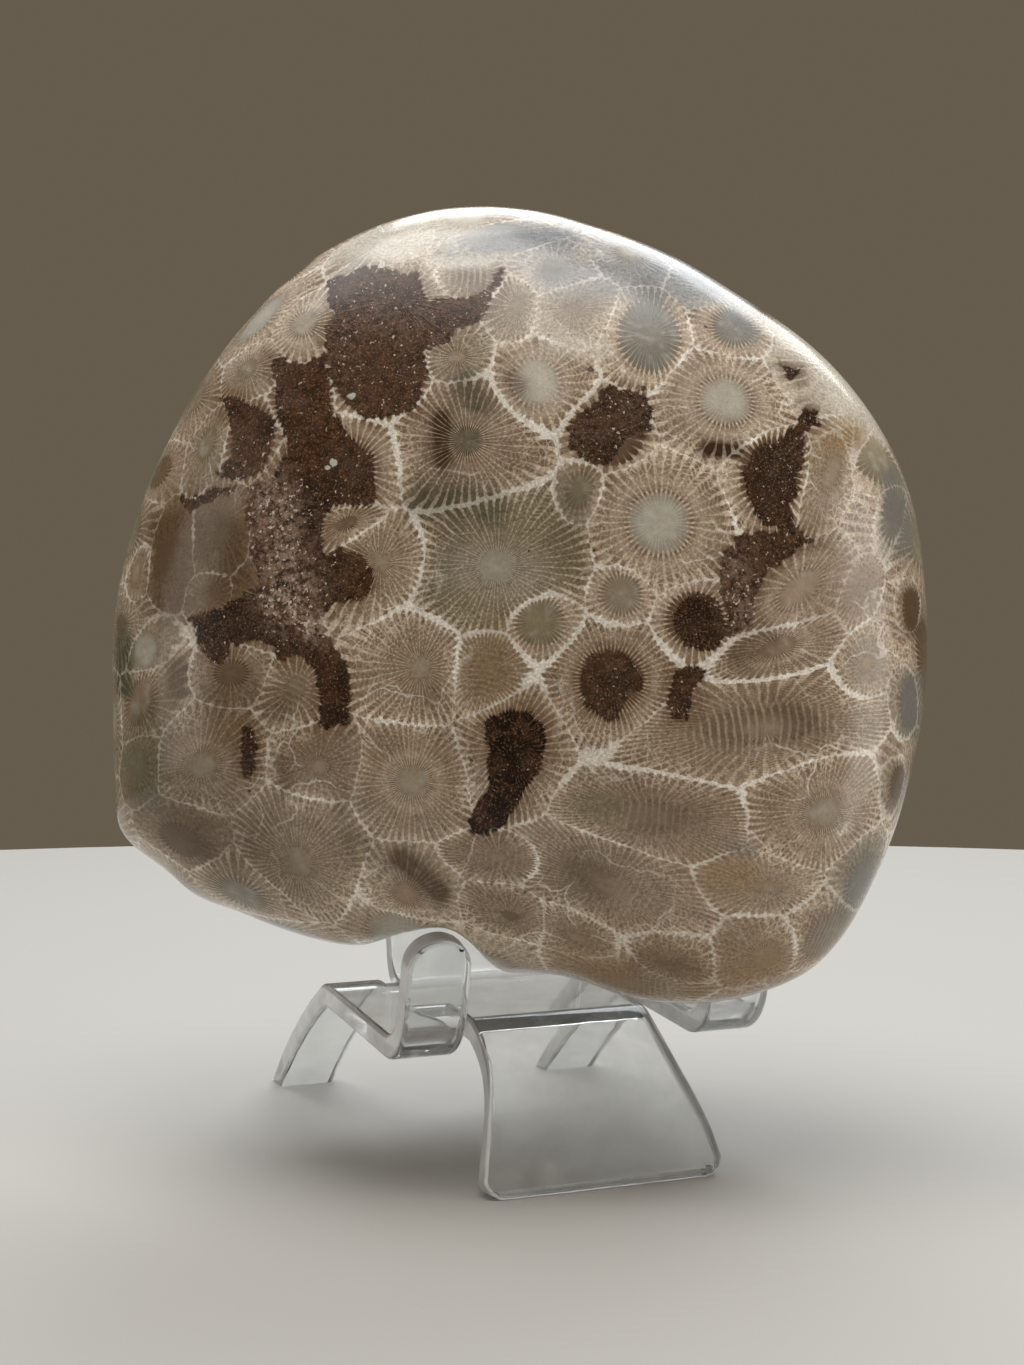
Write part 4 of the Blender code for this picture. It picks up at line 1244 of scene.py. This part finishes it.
def clearPlastic(name):
    kind = clearLook[name]
    material, s, surface = newMaterial(name)
    place = s.place()
    haze = s.noise(place, *clearBody["haze"])
    s.put(surface["Base Color"], kind["colour"])
    s.put(surface["IOR"], clearBody["ior"])
    s.put(surface["Transmission Weight"], s.ramp(haze, *clearBody["through"], *kind["through"]))
    s.put(surface["Roughness"], s.ramp(haze, *clearBody["rough"], *kind["roughness"]))
    waves = s.noise(place, *clearBody["waves"])
    s.put(surface["Normal"], s.bump(waves, *clearBody["bump"]))
    return material


fall = stand["plateFall"]
frontStart, rearStart = platePoint(stand["plateFront"]), platePoint(stand["plateRear"])
tabEnd = stand["tabTop"] - stand["sheet"] / 2.0 * math.cos(math.radians(stand["tabSlope"]))
tabPath = carryTo(bendPath(frontStart, -fall, stand["tab"]), tabEnd)
legPath = carryTo(bendPath(rearStart, 180.0 - fall, stand["leg"]), -stand["belowGround"])
footPath = carryTo(bendPath(frontStart, -fall, stand["foot"]), -stand["belowGround"])
restPath = bendPath(rearStart, 180.0 - fall, stand["backrest"])
stripShares = np.linspace(-1.0, 1.0, stand["stripColumns"])
tongueHalf = np.array(stand["tongueColumns"])
tongueShares = np.concatenate([-tongueHalf[::-1], [0.0], tongueHalf])
stripMiddle = (stand["width"] - stand["stripWidth"]) / 2.0
stripHalf = stand["stripWidth"] / 2.0
grids = []
for side in (-1.0, 1.0):
    grids.append(stripGrid(tabPath, stripShares, side * stripMiddle, stripHalf, stripHalf))
    grids.append(stripGrid(legPath, stripShares, side * stripMiddle, stripHalf))
below = int(np.argmax(footPath[:, 1] < 0.0))
crossing = slice(below - 1, below + 1)
footEnd = np.interp(stand["soleDip"], -footPath[crossing, 1], pathLengths(footPath)[crossing])
grids.append(stripGrid(footPath, tongueShares, 0.0, stand["footHalf"], stand["footCorner"],
                       footEnd, footFlare))
grids.append(stripGrid(restPath, tongueShares, 0.0, stand["backrestHalf"],
                       stand["backrestCorner"]))
edgeColumns = stripMiddle + stripShares * stripHalf
plate = []
for half, start in ((stand["backrestHalf"], rearStart), (stand["neckHalf"], frontStart)):
    columns = np.concatenate([-edgeColumns[::-1], tongueShares * half, edgeColumns])
    plate.append(standWorld(columns, *[np.full(len(columns), value) for value in start]))
grids.append(np.stack(plate))
verts, faces, offset = [], [], 0
for grid in grids:
    index = offset + np.arange(grid[..., 0].size).reshape(grid.shape[:2])
    faces.append(gridQuads(index))
    verts.append(grid.reshape(-1, 3))
    offset += index.size
standMesh = makeMesh("clearStand", np.concatenate(verts), *faces)


edgeSlot = list(clearLook).index("acrylicEdge")


# joins near points and turns the faces outward, after a cut at the ground that is filled again
def weld(mesh, distance, groundCut=False):
    bm = bmesh.new()
    bm.from_mesh(mesh)
    if groundCut:
        everything = bm.verts[:] + bm.edges[:] + bm.faces[:]
        bmesh.ops.bisect_plane(bm, geom=everything, plane_co=(0, 0, 0), plane_no=(0, 0, 1),
                               clear_inner=True, dist=1e-7)
        for face in bmesh.ops.holes_fill(bm, edges=bm.edges, sides=0)["faces"]:
            face.material_index = edgeSlot
    bmesh.ops.remove_doubles(bm, verts=bm.verts, dist=distance * mm)
    bmesh.ops.recalc_face_normals(bm, faces=bm.faces)
    bm.to_mesh(mesh)
    bm.free()


weld(standMesh, stand["weld"])
for name in clearLook:
    standMesh.materials.append(clearPlastic(name))
sheetObject = addObject("clearStandSheet", standMesh)
wall = sheetObject.modifiers.new("thickness", "SOLIDIFY")
wall.thickness = stand["sheet"] * mm
wall.offset = 0.0
wall.use_even_offset = True
wall.material_offset_rim = edgeSlot
graph = bpy.context.evaluated_depsgraph_get()
solid = bpy.data.meshes.new_from_object(sheetObject.evaluated_get(graph))
bpy.data.objects.remove(sheetObject, do_unlink=True)
weld(solid, stand["cutWeld"], groundCut=True)
solid.name = "clearStand"
solid.shade_smooth()
solid.set_sharp_from_angle(angle=math.radians(stand["sharpAngle"]))
clearStand = addObject("clearStand", solid)
edge = clearStand.modifiers.new("edges", "BEVEL")
edge.width = stand["edgeRound"] * mm
edge.segments = stand["edgeSteps"]
edge.limit_method = "ANGLE"
edge.angle_limit = math.radians(stand["edgeAngle"])
edge.use_clamp_overlap = False
weighted = clearStand.modifiers.new("flat faces stay flat", "WEIGHTED_NORMAL")
weighted.keep_sharp = True

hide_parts("acrylic_stand")
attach(clearStand, "root")
print("stand finished", len(solid.polygons), "faces")

studio = {
    "floorRadius": 500.0,
    "floorPlace": (0.0, -255.0),
    "floorRim": ((0.985, 0.0), (0.995, -1.2), (1.0, -4.0), (1.0, -12.0)),  # radius share, height
    "floorSides": 128,
    "floorColour": (0.53, 0.515, 0.485),
    "floorRoughness": 0.7,
    "backdrop": (0.165, 0.135, 0.095),
    "room": (0.20, 0.172, 0.132),
    "roomSpan": (0.0, -0.4),  # of the way towards the front, out of view
    "sky": (0.86, 0.92, 0.99),
    "skySpan": (0.66, 0.96),  # of the way up
    "skyTilt": 0.35,  # brighter behind than in front
    "strength": 0.8,
}
lights = (  # name, place, height aimed at, width and height, power, colour
    ("keyLight", (-80, -80, 620), 40, (620, 340), 2.5, (1.0, 0.98, 0.95)),
    ("rimLight", (120, 330, 430), 70, (500, 260), 1.3, (0.95, 0.98, 1.0)),
    ("rightLight", (520, -220, 180), 60, (240, 420), 0.88, (1.0, 0.97, 0.93)),
    ("leftLight", (-520, -240, 240), 60, (240, 420), 0.34, (1.0, 0.96, 0.90)),
)

sides = studio["floorSides"]
turns = np.radians(np.arange(sides) * 360.0 / sides)
ring = np.stack([np.cos(turns), np.sin(turns)], axis=-1) * studio["floorRadius"]
rings = [np.column_stack([ring * share + studio["floorPlace"], np.full(sides, drop)])
         for share, drop in studio["floorRim"]]
index = np.arange(len(rings) * sides).reshape(-1, sides)
sideFaces = gridQuads(index, np.roll(index, -1, axis=1))[:, ::-1]
floorMesh = makeMesh("floor", np.concatenate(rings), sideFaces, index[:1], index[-1:, ::-1])
floorMaterial, _, surface = newMaterial("paleFloor")
surface["Base Color"].default_value = (*studio["floorColour"], 1.0)
surface["Roughness"].default_value = studio["floorRoughness"]
floorMesh.materials.append(floorMaterial)
floor = addObject("floor", floorMesh)

world = bpy.data.worlds.new("studio")
bpy.context.scene.world = world
world.use_nodes = True
air = Shade(world.node_tree)
_, northWay, upWay = air.parts(air.add("ShaderNodeTexCoord").outputs["Generated"])
rise = air.ramp(air.plus(air.times(northWay, studio["skyTilt"]), upWay), *studio["skySpan"])
forward = air.ramp(northWay, *studio["roomSpan"], kind="LINEAR")
lowAir = air.mix(forward, studio["backdrop"], studio["room"])
background = world.node_tree.nodes["Background"].inputs
air.put(background["Color"], air.mix(rise, lowAir, studio["sky"]))
background["Strength"].default_value = studio["strength"]

for name, place, aimUp, size, power, colour in lights:
    lamp = bpy.data.lights.new(name, "AREA")
    lamp.shape = "RECTANGLE"
    lamp.size, lamp.size_y = size[0] * mm, size[1] * mm
    lamp.energy = power
    lamp.color = colour
    made = addObject(name, lamp)
    made.location = Vector(place) * mm
    aim = Vector((0, 0, aimUp)) - Vector(place)
    made.rotation_euler = aim.to_track_quat("-Z", "Y").to_euler()

lens = bpy.data.cameras.new("camera")
lens.lens = camera["focal"]
lens.sensor_width = camera["sensor"]
lens.clip_start = camera["clipStart"] * mm
view = addObject("camera", lens)
view.location = camPlace * mm
view.rotation_euler = (math.pi / 2.0 - tilt, 0.0, 0.0)
bpy.context.scene.camera = view
bpy.context.scene.view_settings.view_transform = "Standard"
